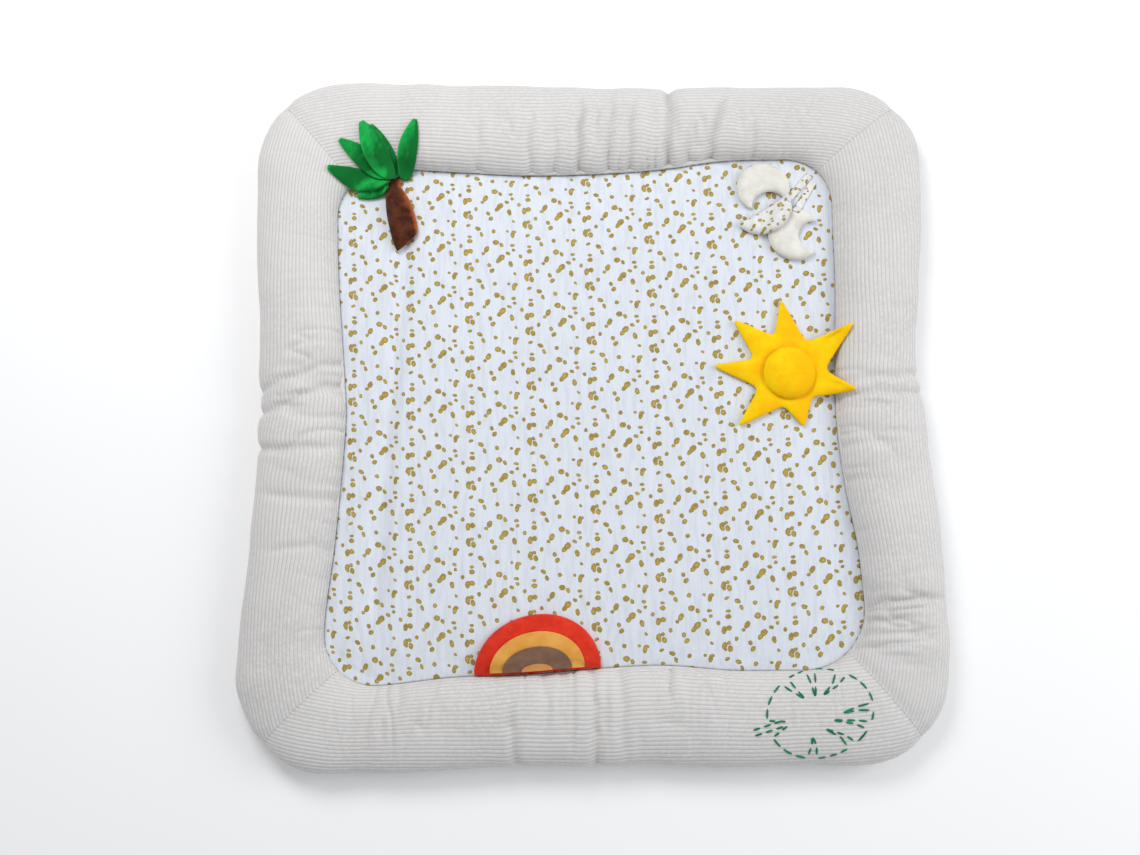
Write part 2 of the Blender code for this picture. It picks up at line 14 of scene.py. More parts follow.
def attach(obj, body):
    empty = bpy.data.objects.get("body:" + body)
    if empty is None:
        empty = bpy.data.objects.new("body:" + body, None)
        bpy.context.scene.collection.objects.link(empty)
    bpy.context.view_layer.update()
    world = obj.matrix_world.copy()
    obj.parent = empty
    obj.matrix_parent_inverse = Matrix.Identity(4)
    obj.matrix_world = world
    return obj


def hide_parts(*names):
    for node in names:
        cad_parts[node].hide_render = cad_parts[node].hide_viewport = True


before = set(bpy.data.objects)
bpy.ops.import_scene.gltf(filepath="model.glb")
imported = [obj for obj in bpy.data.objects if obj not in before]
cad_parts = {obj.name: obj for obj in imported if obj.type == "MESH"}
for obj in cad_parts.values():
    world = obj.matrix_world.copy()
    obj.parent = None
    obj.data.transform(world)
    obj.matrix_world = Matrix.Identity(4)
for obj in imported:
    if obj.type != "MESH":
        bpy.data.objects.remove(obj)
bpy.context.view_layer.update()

# Camera: it looks down at the mat from the front, 80 degrees above the floor
IMAGE_WIDTH = 1140
IMAGE_HEIGHT = 855
CAMERA_DISTANCE = 2.0
CAMERA_TILT = math.radians(10.0)
CAMERA_TARGET = Vector((0.0, -0.027, 0.03))
FOCAL_PIXELS = 1372.0
CENTRE_PIXEL = (592.0, 431.0)
SENSOR_WIDTH = 36.0

# Light
WORLD_STRENGTH = 0.54
LAMPS = (
    # name, place, size, watts, colour
    ("window", (-0.7, 1.2, 1.7), 1.1, 22.5, (1.0, 0.99, 0.98)),
    ("fill", (2.4, 0.2, 1.6), 1.8, 32.0, (0.98, 0.99, 1.0)),
)

# Border strips
BORDER_HEIGHT = 0.062
CORNER_DROP = 0.006
SEAM_HEIGHT = 0.026
REACH_HEIGHT = 0.028
CREST_SHARE = 0.45
CONTACT_SHARE = 0.84
WALE_PITCH = 0.0064
WALE_DEPTH = 0.0006
MITRE_DIP = 0.0022
MITRE_WIDTH = 0.009
MITRE_CALM = 0.03
MITRE_CLEARANCE = 0.00005
SEAM_EASE = 0.007
# Fold depth at which the painted shade in the creases is strongest
CREASE_SHADE_DEPTH = 0.008
FOLD_NARROW = 0.34
FOLD_BROAD = 0.50
FOLD_RIDGE = 0.14
FOLD_FADE = 0.45
FOLD_WANDER = 0.004
FOLD_WANDER_LENGTH = 0.028
WALE_DRAG = 0.35
WALE_DRIFT = 0.0022
WRINKLE_DEPTH = 0.0045
WRINKLE_SHARE = 0.18
PUCKER_DEPTH = 0.0012
PUCKER_REACH = 0.020
LUMP_DEPTH = 0.0014
COLUMN_EASE = 0.80 * math.pi / 2
UNDER_SHARE = 0.95
UNDER_ROWS = 6
BORDER_COLUMNS = 330
BORDER_ROWS = 168
PROFILE_SAMPLES = 240

# Panel
SEAM_TUCK = 0.0008
PANEL_EDGE = 0.024
PANEL_CROWN = 0.012
PANEL_STEPS = 296
PANEL_CRINKLES = (
    # depth, width, length, seed
    (0.0005, 0.0085, 0.060, 72),
    (0.0007, 0.021, 0.110, 73),
    (0.0010, 0.075, 0.150, 74),
)
TROUGH_DEPTH = 0.0080
TROUGH_WIDTH = 0.014
TROUGH_END = 0.29
TROUGH_TOP_X = -0.279
TROUGH_LEAN = 0.055

# Toys
RIM = 0.0016
FELT = 0.0015
AIR = 0.0004
PLUSH_SUN = 0.013
SUN_DOME = 0.012
RAINBOW_PUFF = 0.019
TRUNK_PUFF = 0.018
LEAF_PUFF = 0.009
MOON_PUFF = 0.014
STRAP_WIDTH = 0.010

# The seam and the outer edge of the front and back strips: distances from the middle
FRONT_BACK_ROWS = (
    # x, front seam, front edge, back seam, back edge
    (-0.30, 0.392, 0.513, 0.375, 0.511),
    (-0.20, 0.381, 0.509, 0.370, 0.509),
    (-0.10, 0.377, 0.503, 0.365, 0.507),
    (0.00, 0.369, 0.503, 0.367, 0.504),
    (0.10, 0.364, 0.501, 0.374, 0.503),
    (0.20, 0.371, 0.504, 0.388, 0.504),
    (0.30, 0.371, 0.502, 0.391, 0.504),
)
# The same for the left and right strips
LEFT_RIGHT_ROWS = (
    # y, left seam, left edge, right seam, right edge
    (-0.30, 0.381, 0.502, 0.390, 0.506),
    (-0.20, 0.371, 0.494, 0.383, 0.501),
    (-0.10, 0.364, 0.487, 0.366, 0.495),
    (0.00, 0.360, 0.489, 0.357, 0.485),
    (0.10, 0.368, 0.489, 0.359, 0.479),
    (0.20, 0.377, 0.496, 0.362, 0.485),
    (0.30, 0.382, 0.502, 0.361, 0.492),
)
CORNERS = {
    # name: seam x, seam y, seam radius, edge x, edge y, edge radius
    "front_left": (-0.382, -0.394, 0.078, -0.503, -0.513, 0.140),
    "front_right": (0.391, -0.373, 0.095, 0.506, -0.504, 0.140),
    "back_right": (0.362, 0.393, 0.075, 0.493, 0.505, 0.118),
    "back_left": (-0.383, 0.374, 0.075, -0.503, 0.511, 0.128),
}
SIDES = (
    # name, quarter turns from the front, rows, seam column, edge column, first corner, last corner
    ("front", 0, FRONT_BACK_ROWS, 1, 2, "front_left", "front_right"),
    ("right", 1, LEFT_RIGHT_ROWS, 3, 4, "front_right", "back_right"),
    ("back", 2, FRONT_BACK_ROWS, 3, 4, "back_right", "back_left"),
    ("left", 3, LEFT_RIGHT_ROWS, 1, 2, "back_left", "front_left"),
)
# Creases across the border: x on the front and back strips, y on the left and right ones
FOLDS = (
    # side, place, lean outward, width, depth, starts, ends (shares of the strip's width)
    ("back", -0.170, 0.000, 0.010, 0.0040, -0.2, 0.6),
    ("back", -0.092, 0.000, 0.008, 0.0055, -0.2, 0.55),
    ("back", -0.055, 0.004, 0.007, 0.0045, -0.2, 0.45),
    ("back", -0.017, 0.006, 0.009, 0.0090, -0.2, 0.75),
    ("back", 0.027, 0.006, 0.010, 0.0060, -0.1, 0.8),
    ("back", 0.060, 0.008, 0.009, 0.0065, -0.2, 0.8),
    ("back", 0.115, 0.010, 0.011, 0.0100, -0.2, 1.3),
    ("back", 0.150, 0.012, 0.008, 0.0050, -0.2, 0.6),
    ("back", 0.190, 0.030, 0.011, 0.0085, -0.2, 0.8),
    ("back", 0.240, 0.000, 0.009, 0.0050, -0.2, 0.45),
    ("left", 0.052, -0.040, 0.009, 0.0050, -0.2, 1.3),
    ("left", 0.020, -0.042, 0.010, 0.0075, -0.2, 1.3),
    ("left", -0.010, 0.000, 0.007, 0.0030, -0.2, 0.6),
    ("left", -0.056, 0.000, 0.010, 0.0075, 0.1, 1.3),
    ("left", -0.125, 0.006, 0.010, 0.0055, -0.2, 0.85),
    ("left", -0.200, -0.006, 0.010, 0.0035, -0.2, 0.7),
    ("right", 0.051, 0.010, 0.009, 0.0060, 0.3, 1.3),
    ("right", 0.024, 0.004, 0.009, 0.0060, 0.1, 1.3),
    ("right", -0.047, 0.000, 0.009, 0.0035, -0.2, 0.6),
    ("right", -0.100, 0.006, 0.009, 0.0035, -0.2, 0.5),
    ("right", -0.273, 0.010, 0.009, 0.0060, -0.1, 0.9),
    ("right", -0.297, 0.008, 0.007, 0.0050, -0.2, 0.6),
    ("right", -0.320, 0.000, 0.007, 0.0050, -0.2, 0.7),
    ("right", -0.336, 0.004, 0.006, 0.0035, -0.2, 0.5),
    ("front", -0.270, 0.000, 0.009, 0.0035, -0.2, 0.4),
    ("front", -0.110, 0.010, 0.011, 0.0055, 0.3, 1.3),
    ("front", 0.006, 0.004, 0.010, 0.0065, 0.2, 1.3),
    ("front", 0.042, 0.006, 0.011, 0.0045, -0.2, 0.9),
    ("front", 0.108, 0.000, 0.009, 0.0035, -0.2, 0.45),
)

# Where the strips are most wrinkled
WRINKLED = (
    # side, place, reach along the strip, strength
    ("back", -0.02, 0.090, 0.8),
    ("back", 0.17, 0.080, 1.0),
    ("left", 0.02, 0.090, 1.0),
    ("right", -0.02, 0.080, 0.8),
    ("right", -0.30, 0.060, 1.0),
    ("front", 0.02, 0.120, 0.7),
    ("front", -0.27, 0.050, 0.6),
)

# Sun
SUN_CENTRE = (0.283, 0.069)
DISC_CENTRE = (0.288, 0.0565)
DISC_RADIUS = 0.038
SUN_OUTLINE = (
    # direction in degrees, distance from the centre: tips and valleys in turn
    (92.4, 0.102),
    (48.1, 0.047),
    (31.4, 0.118),
    (-5.3, 0.058),
    (-21.9, 0.110),
    (-49.7, 0.060),
    (-74.6, 0.096),
    (-93.8, 0.060),
    (-128.1, 0.118),
    (-139.6, 0.052),
    (-179.6, 0.109),
    (-191.8, 0.046),
    (-222.3, 0.104),
    (-251.0, 0.046),
)

RAINBOW_X = -0.077
RAINBOW_OFFSET = 0.0012
RAINBOW_LAYERS = (
    # name, half width, height, thickness
    ("rainbow_red", 0.090, 0.082, RAINBOW_PUFF),
    ("rainbow_yellow", 0.067, 0.055, FELT),
    ("rainbow_taupe", 0.049, 0.034, FELT),
    ("rainbow_orange", 0.022, 0.010, FELT),
)

TRUNK_ROWS = (
    # left x, left y, right x, right y
    (-0.309, 0.360, -0.288, 0.360),
    (-0.310, 0.342, -0.286, 0.344),
    (-0.309, 0.322, -0.276, 0.328),
    (-0.307, 0.302, -0.268, 0.310),
    (-0.302, 0.279, -0.262, 0.289),
    (-0.296, 0.257, -0.261, 0.270),
    (-0.290, 0.244, -0.277, 0.254),
)
LEAVES = (
    # name, base x, base y, tip x, tip y, width, sideways bow
    ("palm_leaf_1", -0.304, 0.343, -0.353, 0.331, 0.026, -0.002),
    ("palm_leaf_2", -0.302, 0.349, -0.394, 0.368, 0.032, 0.005),
    ("palm_leaf_3", -0.304, 0.354, -0.377, 0.410, 0.029, -0.001),
    ("palm_leaf_4", -0.293, 0.357, -0.331, 0.432, 0.030, 0.001),
    ("palm_leaf_5", -0.283, 0.356, -0.264, 0.440, 0.029, 0.001),
    ("palm_leaf_6", -0.299, 0.351, -0.345, 0.437, 0.035, 0.002),
)

MOONS = (
    # name, centre x, centre y, radius, bite x, bite y, bite radius
    ("moon_upper", 0.257, 0.342, 0.040, 0.266, 0.309, 0.027),
    ("moon_lower", 0.302, 0.270, 0.040, 0.330, 0.268, 0.022),
    ("moon_print", 0.252, 0.314, 0.046, 0.099, 0.561, 0.300),
)
STRAPS = (
    # name, seam end x, seam end y, moon end x, moon end y
    ("moon_strap_1", 0.3285, 0.3660, 0.2905, 0.3200),
    ("moon_strap_2", 0.3340, 0.3560, 0.3030, 0.3020),
)

# The print: one repeat of 91 by 83 mm, whose grain drops to the right and bows with the cloth.
# Motifs read off and turned into millimetres; repeat, origin and warp fitted to 18 of them on the panel.
REPEAT_RIGHT = (91.1, -13.0)
REPEAT_UP = (-2.5, 82.8)
PRINT_ORIGIN = (-0.4, 106.6)
PRINT_WARP = (
    # millimetres right and up for each squared repeat to the right, right times up, squared up
    (0.68, 1.31),
    (-0.06, 0.59),
    (-0.21, -0.13),
)
MOTIFS = (
    # x, y, length, width (mm), turn in degrees
    (-3.8, 1.2, 10, 7, 80),
    (1.7, 5, 5.6, 5.2, 0),
    (4.1, -2.8, 8.6, 6.6, 110),
    (-2.7, -3.8, 4.8, 4.2, 0),
    (0.5, -16.8, 7, 4.5, 25),
    (12.3, 10.3, 6.2, 5.2, 90),
    (31.1, 4, 6.6, 5.6, 120),
    (35.2, -4.2, 7.8, 6.2, 45),
    (49.4, 16.9, 10.4, 8.4, 45),
    (44.9, 11.6, 8.6, 6.2, 50),
    (63.5, 6.9, 9.6, 6.2, 105),
    (69.7, -7.9, 5.2, 3.8, -40),
    (-4.8, 22.5, 10.4, 7, 85),
    (1.6, 25.1, 7.8, 7, 0),
    (-12.9, 32.5, 6, 5.2, 90),
    (59.4, 23.6, 7, 4.8, -25),
    (65.7, 36.5, 6.6, 4.5, 0),
    (67.5, 29.2, 5.2, 4.8, 0),
    (0.4, 48.2, 6.2, 4.2, 0),
    (0.7, 41, 7.8, 6.6, 0),
    (26.5, 28.7, 10.4, 7, 65),
    (21.6, 22, 5.4, 4.8, 0),
    (40.6, 40.5, 9, 7.8, 0),
    (49.1, 36.9, 7, 5.2, 120),
    (13, 61.6, 8.6, 6, -25),
    (18.5, 52.7, 7.8, 4.8, 115),
    (37, 58.2, 6, 6, 0),
    (66.1, 54.1, 10.8, 6, 85),
    (58.2, 58.7, 4.5, 4.2, 0),
    (68, 57.9, 7.4, 4.8, 0),
)

# Running stitches in the shape of a slit leaf, on the front strip
LEAF_CENTRE = (0.314, -0.430)
LEAF_RADII = (0.075, 0.060)
LEAF_TURN = 14.0
STEM = (0.266, -0.443, 0.222, -0.457)
STEM_WIDTH = 0.008
STITCH_LENGTH = 0.0125
STITCH_GAP = 0.0050
STITCH_RADIUS = 0.0015
SLITS = (
    # direction in degrees, half width in degrees, direction and place of its inner end
    (116.0, 5.0, 112.0, 0.42),
    (84.0, 5.0, 86.0, 0.36),
    (50.0, 6.0, 66.0, 0.40),
    (-8.0, 4.5, -16.0, 0.42),
    (-32.0, 4.5, -44.0, 0.30),
    (-62.0, 5.0, -84.0, 0.36),
    (-108.0, 5.0, -116.0, 0.50),
)
LEAF_NOTCH = (172.0, -164.0)

supports = []


def linear(red, green, blue):
    """A display colour of 0 to 255 as linear light."""
    return tuple(((c / 255.0 + 0.055) / 1.055) ** 2.4 if c > 10 else c / 3294.6 for c in (red, green, blue))


def soft_noise(x, y, size_x, size_y, seed):
    """Smooth noise from -1 to 1 whose lumps measure size_x by size_y."""
    table = np.random.default_rng(seed).uniform(-1.0, 1.0, (64, 64))
    column = np.asarray(x) / size_x + 1000.37
    row = np.asarray(y) / size_y + 1000.71
    left = np.floor(column).astype(int)
    low = np.floor(row).astype(int)
    across = column - left
    up = row - low
    across = across * across * (3 - 2 * across)
    up = up * up * (3 - 2 * up)
    corner = [[table[(low + i) % 64, (left + j) % 64] for j in (0, 1)] for i in (0, 1)]
    lower = corner[0][0] * (1 - across) + corner[0][1] * across
    upper = corner[1][0] * (1 - across) + corner[1][1] * across
    return lower * (1 - up) + upper * up


def smooth_through(points, x):
    """Values at x of a smooth curve through (x, value) points in rising x."""
    xs, values = np.array(points).T
    slopes = np.gradient(values, xs)
    first = np.clip(np.searchsorted(xs, x) - 1, 0, len(xs) - 2)
    span = xs[first + 1] - xs[first]
    t = (x - xs[first]) / span
    start = (1 + 2 * t) * (1 - t) ** 2 * values[first] + t * (1 - t) ** 2 * span * slopes[first]
    end = t * t * (3 - 2 * t) * values[first + 1] - t * t * (1 - t) * span * slopes[first + 1]
    return start + end


def bump(distance, width):
    """A smooth hump of height 1 at no distance."""
    return np.exp(-((distance / width) ** 2))


def window(value, start, end, blend=0.12):
    """1 between start and end, easing to 0 outside."""
    rise = np.clip((value - start) / blend + 0.5, 0.0, 1.0)
    fall = np.clip((end - value) / blend + 0.5, 0.0, 1.0)
    return rise * rise * (3 - 2 * rise) * fall * fall * (3 - 2 * fall)


def quarter_turn(turns):
    """Cosine and sine of some quarter turns."""
    return round(math.cos(turns * math.pi / 2)), round(math.sin(turns * math.pi / 2))


def to_world(turns, along, outward, height):
    """Points of a side's own frame, turned to its side of the mat."""
    c, s = quarter_turn(turns)
    return np.stack([c * along + s * outward, s * along - c * outward, height], axis=-1)


def side_line(side, kind):
    """Knots of one side's seam or edge, and the rounding at its two ends."""
    _, turns, rows, seam_column, edge_column, first, last = side
    c, s = quarter_turn(turns)
    column = seam_column if kind == "seam" else edge_column
    pick = 0 if kind == "seam" else 3
    ends = []
    for corner, sign in ((first, -1.0), (last, 1.0)):
        x, y, radius = CORNERS[corner][pick:pick + 3]
        ends.append((c * x + s * y, s * x - c * y, radius, sign))
    direction = 1.0 if turns < 2 else -1.0
    knots = sorted((direction * row[0], row[column]) for row in rows)
    share = 1.0 - math.sqrt(0.5)
    starts = (ends[0][0] + share * ends[0][2], ends[0][1])
    stops = (ends[1][0] - share * ends[1][2], ends[1][1])
    return [starts] + knots + [stops], ends


def line_points(line, u):
    """Along, outward and rounding inset on a seam or edge, for u from -1 at one mitre to 1 at the other."""
    knots, ends = line
    along = knots[0][0] + (u + 1.0) / 2.0 * (knots[-1][0] - knots[0][0])
    inset = np.zeros_like(along)
    for corner_along, _, radius, sign in ends:
        over = np.maximum(sign * (along - corner_along) + radius, 0.0)
        inset += radius - np.sqrt(np.maximum(radius * radius - over * over, 0.0))
    return along, smooth_through(knots, along) - inset, inset


def mesh_object(name, points, faces, attributes=None):
    """An object from points and faces, with float attributes by point."""
    mesh = bpy.data.meshes.new(name)
    mesh.from_pydata(points.tolist(), [], faces)
    for label, values in (attributes or {}).items():
        layer = mesh.attributes.new(label, "FLOAT", "POINT")
        layer.data.foreach_set("value", np.asarray(values, dtype=np.float32))
    mesh.validate()
    mesh.shade_smooth()
    piece = bpy.data.objects.new(name, mesh)
    bpy.context.scene.collection.objects.link(piece)
    return piece


def grid_faces(rows, columns, wrap_rows=False, wrap_columns=False, start=0, flip=False):
    """Quads of a grid of points, row by row."""
    row = np.arange(rows if wrap_rows else rows - 1)[:, None]
    column = np.arange(columns if wrap_columns else columns - 1)[None, :]
    next_row = (row + 1) % rows
    next_column = (column + 1) % columns
    corners = [row * columns + column, row * columns + next_column,
               next_row * columns + next_column, next_row * columns + column]
    quads = np.stack([np.broadcast_to(c, (row.size, column.size)) for c in corners], axis=-1)
    quads = quads.reshape(-1, 4) + start
    return (quads[:, ::-1] if flip else quads).tolist()


def remember(piece):
    """Keep a piece as something that later pieces can lie on."""
    corners = [point.co.copy() for point in piece.data.vertices]
    faces = [tuple(face.vertices) for face in piece.data.polygons]
    tree = BVHTree.FromPolygons(corners, faces)
    flat = np.array([tuple(corner) for corner in corners])
    supports.append((tree, flat.min(axis=0), flat.max(axis=0)))


def height_below(x, y):
    """The top of the pieces so far at a plan point."""
    highest = 0.0
    for tree, low, high in supports:
        if low[0] <= x <= high[0] and low[1] <= y <= high[1]:
            hit = tree.ray_cast(Vector((x, y, 0.3)), Vector((0.0, 0.0, -1.0)))[0]
            if hit is not None:
                highest = max(highest, hit.z)
    return highest


def finish_piece(piece, node, material):
    """Give a piece its material, its body, and hide the imported part it takes the place of."""
    piece.data.materials.append(material)
    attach(piece, "root")
    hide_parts(node)


def crease(distance, width):
    """A narrow fold in a broad dip, with a soft ridge on each side."""
    narrow = FOLD_NARROW * bump(distance, 0.35 * width)
    broad = FOLD_BROAD * bump(distance, 1.3 * width)
    ridge = bump(np.abs(distance) - 1.1 * width, 0.5 * width)
    return narrow + broad - FOLD_RIDGE * ridge


def side_folds(side, along, share, arc):
    """Depth of a side's creases, and how far they drag the wales."""
    name, turns = side[0], side[1]
    direction = 1.0 if turns < 2 else -1.0
    depth_here = np.zeros_like(arc)
    drag = np.zeros_like(arc)
    for number, (fold_side, place, lean, width, depth, starts, ends) in enumerate(FOLDS):
        if fold_side == name:
            wander = FOLD_WANDER * soft_noise(arc, 0.0, FOLD_WANDER_LENGTH, 1.0, number + 90)
            distance = along - (direction * (place + lean * (share - 0.5)) + wander)
            inside = window(share, starts, ends, FOLD_FADE)
            depth_here += depth * crease(distance, width) * inside
            drag += WALE_DRAG * depth * distance / width * bump(distance, 2.0 * width) * inside
    return depth_here, drag


def wrinkled_share(side, along):
    """How wrinkled a strip is along its length, from 0 to 1."""
    direction = 1.0 if side[1] < 2 else -1.0
    total = WRINKLE_SHARE
    for name, place, reach, strength in WRINKLED:
        if name == side[0]:
            total = total + strength * bump(along - direction * place, reach)
    return total


def border_relief(side, along, share, arc, arc_total, wale, folds, to_mitre):
    """How far the cover lies below its plain stuffed shape."""
    seed = 10 * side[1]
    round_arc = arc / arc_total
    off_seam = np.clip(arc / SEAM_EASE, 0.0, 1.0) ** 2
    below = WALE_DEPTH * (1.0 - np.abs(np.sin(math.pi * wale)) ** 0.7) * window(round_arc, 0.0, 0.95, 0.04)
    below += folds * off_seam
    below += MITRE_DIP * bump(to_mitre, MITRE_WIDTH) * window(share, 0.05, 1.3)
    tight = wrinkled_share(side, along)
    calm = 1.0 - bump(to_mitre, MITRE_CALM)
    lines = soft_noise(along, arc, 0.026, 0.10, seed + 1)
    lines += 0.5 * soft_noise(along, arc, 0.012, 0.06, seed + 5)
    lines = np.maximum(1.0 - 1.8 * np.abs(lines), 0.0) ** 2
    below += WRINKLE_DEPTH * tight * lines * window(share, -0.2, 0.75, 0.5) * off_seam * calm
    near_seam = np.exp(-arc / PUCKER_REACH)
    puckers = soft_noise(along, arc, 0.010, 0.06, seed + 2)
    puckers += 0.7 * soft_noise(along, arc, 0.021, 0.09, seed + 6)
    below += PUCKER_DEPTH * near_seam * puckers * off_seam * calm
    lumps = soft_noise(along, arc, 0.045, 0.12, seed + 3)
    lumps += 1.5 * soft_noise(along, arc, 0.13, 0.10, seed + 4)
    below += LUMP_DEPTH * (1.0 + tight) * lumps * window(round_arc, 0.06, 0.95) * calm
    return below


def make_border(side, material):
    """One stuffed strip with every wale of its corduroy."""
    turns = side[1]
    seam_line = side_line(side, "seam")
    edge_line = side_line(side, "edge")
    u = np.sin(np.linspace(-1.0, 1.0, BORDER_COLUMNS) * COLUMN_EASE) / math.sin(COLUMN_EASE)
    seam_along, seam_out, inset = line_points(seam_line, u)
    edge_along, edge_out, _ = line_points(edge_line, u)
    width = np.hypot(edge_along - seam_along, edge_out - seam_out)
    height = BORDER_HEIGHT - CORNER_DROP * np.abs(u) ** 3
    t = np.linspace(0.0, 3.0, PROFILE_SAMPLES)
    turn = (t % 1.0) * math.pi / 2
    turn[-1] = math.pi / 2
    inner, outer = t < 1.0, (t >= 1.0) & (t < 2.0)
    share = np.where(inner, CREST_SHARE * (1.0 - np.cos(turn)),
                     np.where(outer, CREST_SHARE + (1.0 - CREST_SHARE) * np.sin(turn),
                              CONTACT_SHARE + (1.0 - CONTACT_SHARE) * np.cos(turn)))
    rows = np.concatenate([np.linspace(0.0, UNDER_SHARE, BORDER_ROWS),
                           np.linspace(UNDER_SHARE, 1.0, UNDER_ROWS)[1:]])
    shape = (len(rows), BORDER_COLUMNS)
    reach, rise, arc = np.zeros(shape), np.zeros(shape), np.zeros(shape)
    for i in range(BORDER_COLUMNS):
        lift = np.where(inner, SEAM_HEIGHT + (height[i] - SEAM_HEIGHT) * np.sin(turn),
                        np.where(outer, REACH_HEIGHT + (height[i] - REACH_HEIGHT) * np.cos(turn),
                                 REACH_HEIGHT * (1.0 - np.sin(turn))))
        out = share * width[i]
        lengths = np.concatenate([[0.0], np.cumsum(np.hypot(np.diff(out), np.diff(lift)))])
        arc[:, i] = rows * lengths[-1]
        reach[:, i] = np.interp(arc[:, i], lengths, out)
        rise[:, i] = np.interp(arc[:, i], lengths, lift)
    step_out = np.gradient(reach, axis=0)
    step_up = np.gradient(rise, axis=0)
    length = np.hypot(step_out, step_up)
    normal_out, normal_up = -step_up / length, step_out / length
    part = reach / width
    along = seam_along + (edge_along - seam_along) * part
    to_mitre = (1.0 - np.abs(u)) * abs(edge_line[0][-1][0]) + 0.0 * part
    folds, drag = side_folds(side, along, part, arc)
    drift = WALE_DRIFT * soft_noise(along, arc, 0.075, 0.2, 7 + side[1])
    wale = (arc - inset + (drag + drift) * window(arc / arc[-1], 0.06, 0.9)) / WALE_PITCH
    below = border_relief(side, along, part, arc, arc[-1], wale, folds, to_mitre)
    # Painted shade: how deep each point lies in a crease, from 0 to 1, to darken the colour there
    crease_shade = np.clip(folds * np.clip(arc / SEAM_EASE, 0.0, 1.0) ** 2, 0.0, CREASE_SHADE_DEPTH) / CREASE_SHADE_DEPTH
    below[-1] = 0.0
    reach = reach - below * normal_out
    rise = np.maximum(rise - below * normal_up, 0.0)
    part = reach / width
    along = seam_along + (edge_along - seam_along) * part - MITRE_CLEARANCE * u
    outward = seam_out + (edge_out - seam_out) * part
    top = to_world(turns, along, outward, rise)
    bottom = to_world(turns, seam_along - MITRE_CLEARANCE * u, seam_out, np.zeros(BORDER_COLUMNS))
    points = np.concatenate([top, bottom[None]], axis=0)
    ring, columns = points.shape[:2]
    faces = grid_faces(ring, columns, wrap_rows=True, flip=True)
    faces.append([row * columns for row in range(ring)])
    faces.append([row * columns + columns - 1 for row in range(ring)][::-1])
    wale = np.concatenate([wale, np.zeros((1, columns))])
    from_seam = np.concatenate([arc, arc[:1]])
    crease_shade = np.concatenate([crease_shade, crease_shade[:1]])
    piece = mesh_object("corduroy_" + side[0], points.reshape(-1, 3), faces,
                        {"wale": wale.ravel(), "from_seam": from_seam.ravel(), "crease_shade": crease_shade.ravel()})
    finish_piece(piece, "border_" + side[0], material)
    remember(piece)
    return piece


def panel_boundary(side, u):
    """The seam of one side, a hair under the strip's cover."""
    along, outward, _ = line_points(side_line(side, "seam"), u)
    return to_world(side[1], along, outward + SEAM_TUCK, np.zeros_like(along))[:, :2]


def make_panel(material):
    """The padded muslin panel, crowned, with its long soft trough and fine crinkles."""
    u = np.linspace(-1.0, 1.0, PANEL_STEPS + 1)
    front = panel_boundary(SIDES[0], u)
    right = panel_boundary(SIDES[1], u)
    back = panel_boundary(SIDES[2], u)[::-1]
    left = panel_boundary(SIDES[3], u)[::-1]
    s = ((u + 1.0) / 2.0)[None, :, None]
    t = ((u + 1.0) / 2.0)[:, None, None]
    plan = (1 - t) * front[None] + t * back[None] + (1 - s) * left[:, None] + s * right[:, None]
    plan -= ((1 - s) * (1 - t) * front[0] + s * (1 - t) * front[-1]
             + (1 - s) * t * back[0] + s * t * back[-1])
    ring = np.minimum((np.abs(u)[None] ** 9 + np.abs(u)[:, None] ** 9) ** (1 / 9), 1.0)
    x, y = plan[..., 0], plan[..., 1]
    z = PANEL_EDGE + PANEL_CROWN * (1.0 - ring ** 7)
    middle = TROUGH_TOP_X + TROUGH_LEAN * (y - TROUGH_END) + 0.004 * soft_noise(x * 0, y, 1.0, 0.12, 71)
    z -= TROUGH_DEPTH * bump(x - middle, TROUGH_WIDTH) * window(np.abs(y), -1.0, TROUGH_END, 0.1)
    inner = 1.0 - ring ** 24
    for depth, width, length, seed in PANEL_CRINKLES:
        z += inner * depth * soft_noise(x, y, width, length, seed)
    near_edge = np.exp(-(1.0 - ring) * 0.37 / 0.02)
    z += inner * near_edge * 0.0012 * soft_noise(x + y, x - y, 0.012, 0.012, 75)
    points = np.concatenate([plan, z[..., None]], axis=-1).reshape(-1, 3)
    side = PANEL_STEPS + 1
    faces = grid_faces(side, side)
    edge = list(range(side)) + list(range(2 * side - 1, side * side, side))
    edge += list(range(side * side - 2, side * (side - 1) - 1, -1))
    edge += list(range(side * (side - 2), 0, -side))
    floor = points[edge].copy()
    floor[:, 2] = 0.0
    start = len(points)
    count = len(edge)
    points = np.concatenate([points, floor])
    for i in range(count):
        j = (i + 1) % count
        faces.append([edge[j], edge[i], start + i, start + j])
    faces.append([start + i for i in range(count)][::-1])
    piece = mesh_object("muslin_panel", points, faces)
    finish_piece(piece, "center_pad", material)
    remember(piece)
    return piece


def relax(seat, obstacle, wraps, rounds):
    """A taut skin over an uneven obstacle."""
    for _ in range(rounds):
        side_mode = "wrap" if wraps else "edge"
        padded = np.pad(seat, ((1, 1), (0, 0)), mode="edge")
        padded = np.pad(padded, ((0, 0), (1, 1)), mode=side_mode)
        mean = (padded[:-2, 1:-1] + padded[2:, 1:-1] + padded[1:-1, :-2] + padded[1:-1, 2:]) / 4.0
        seat = np.maximum(obstacle, mean)
    return seat


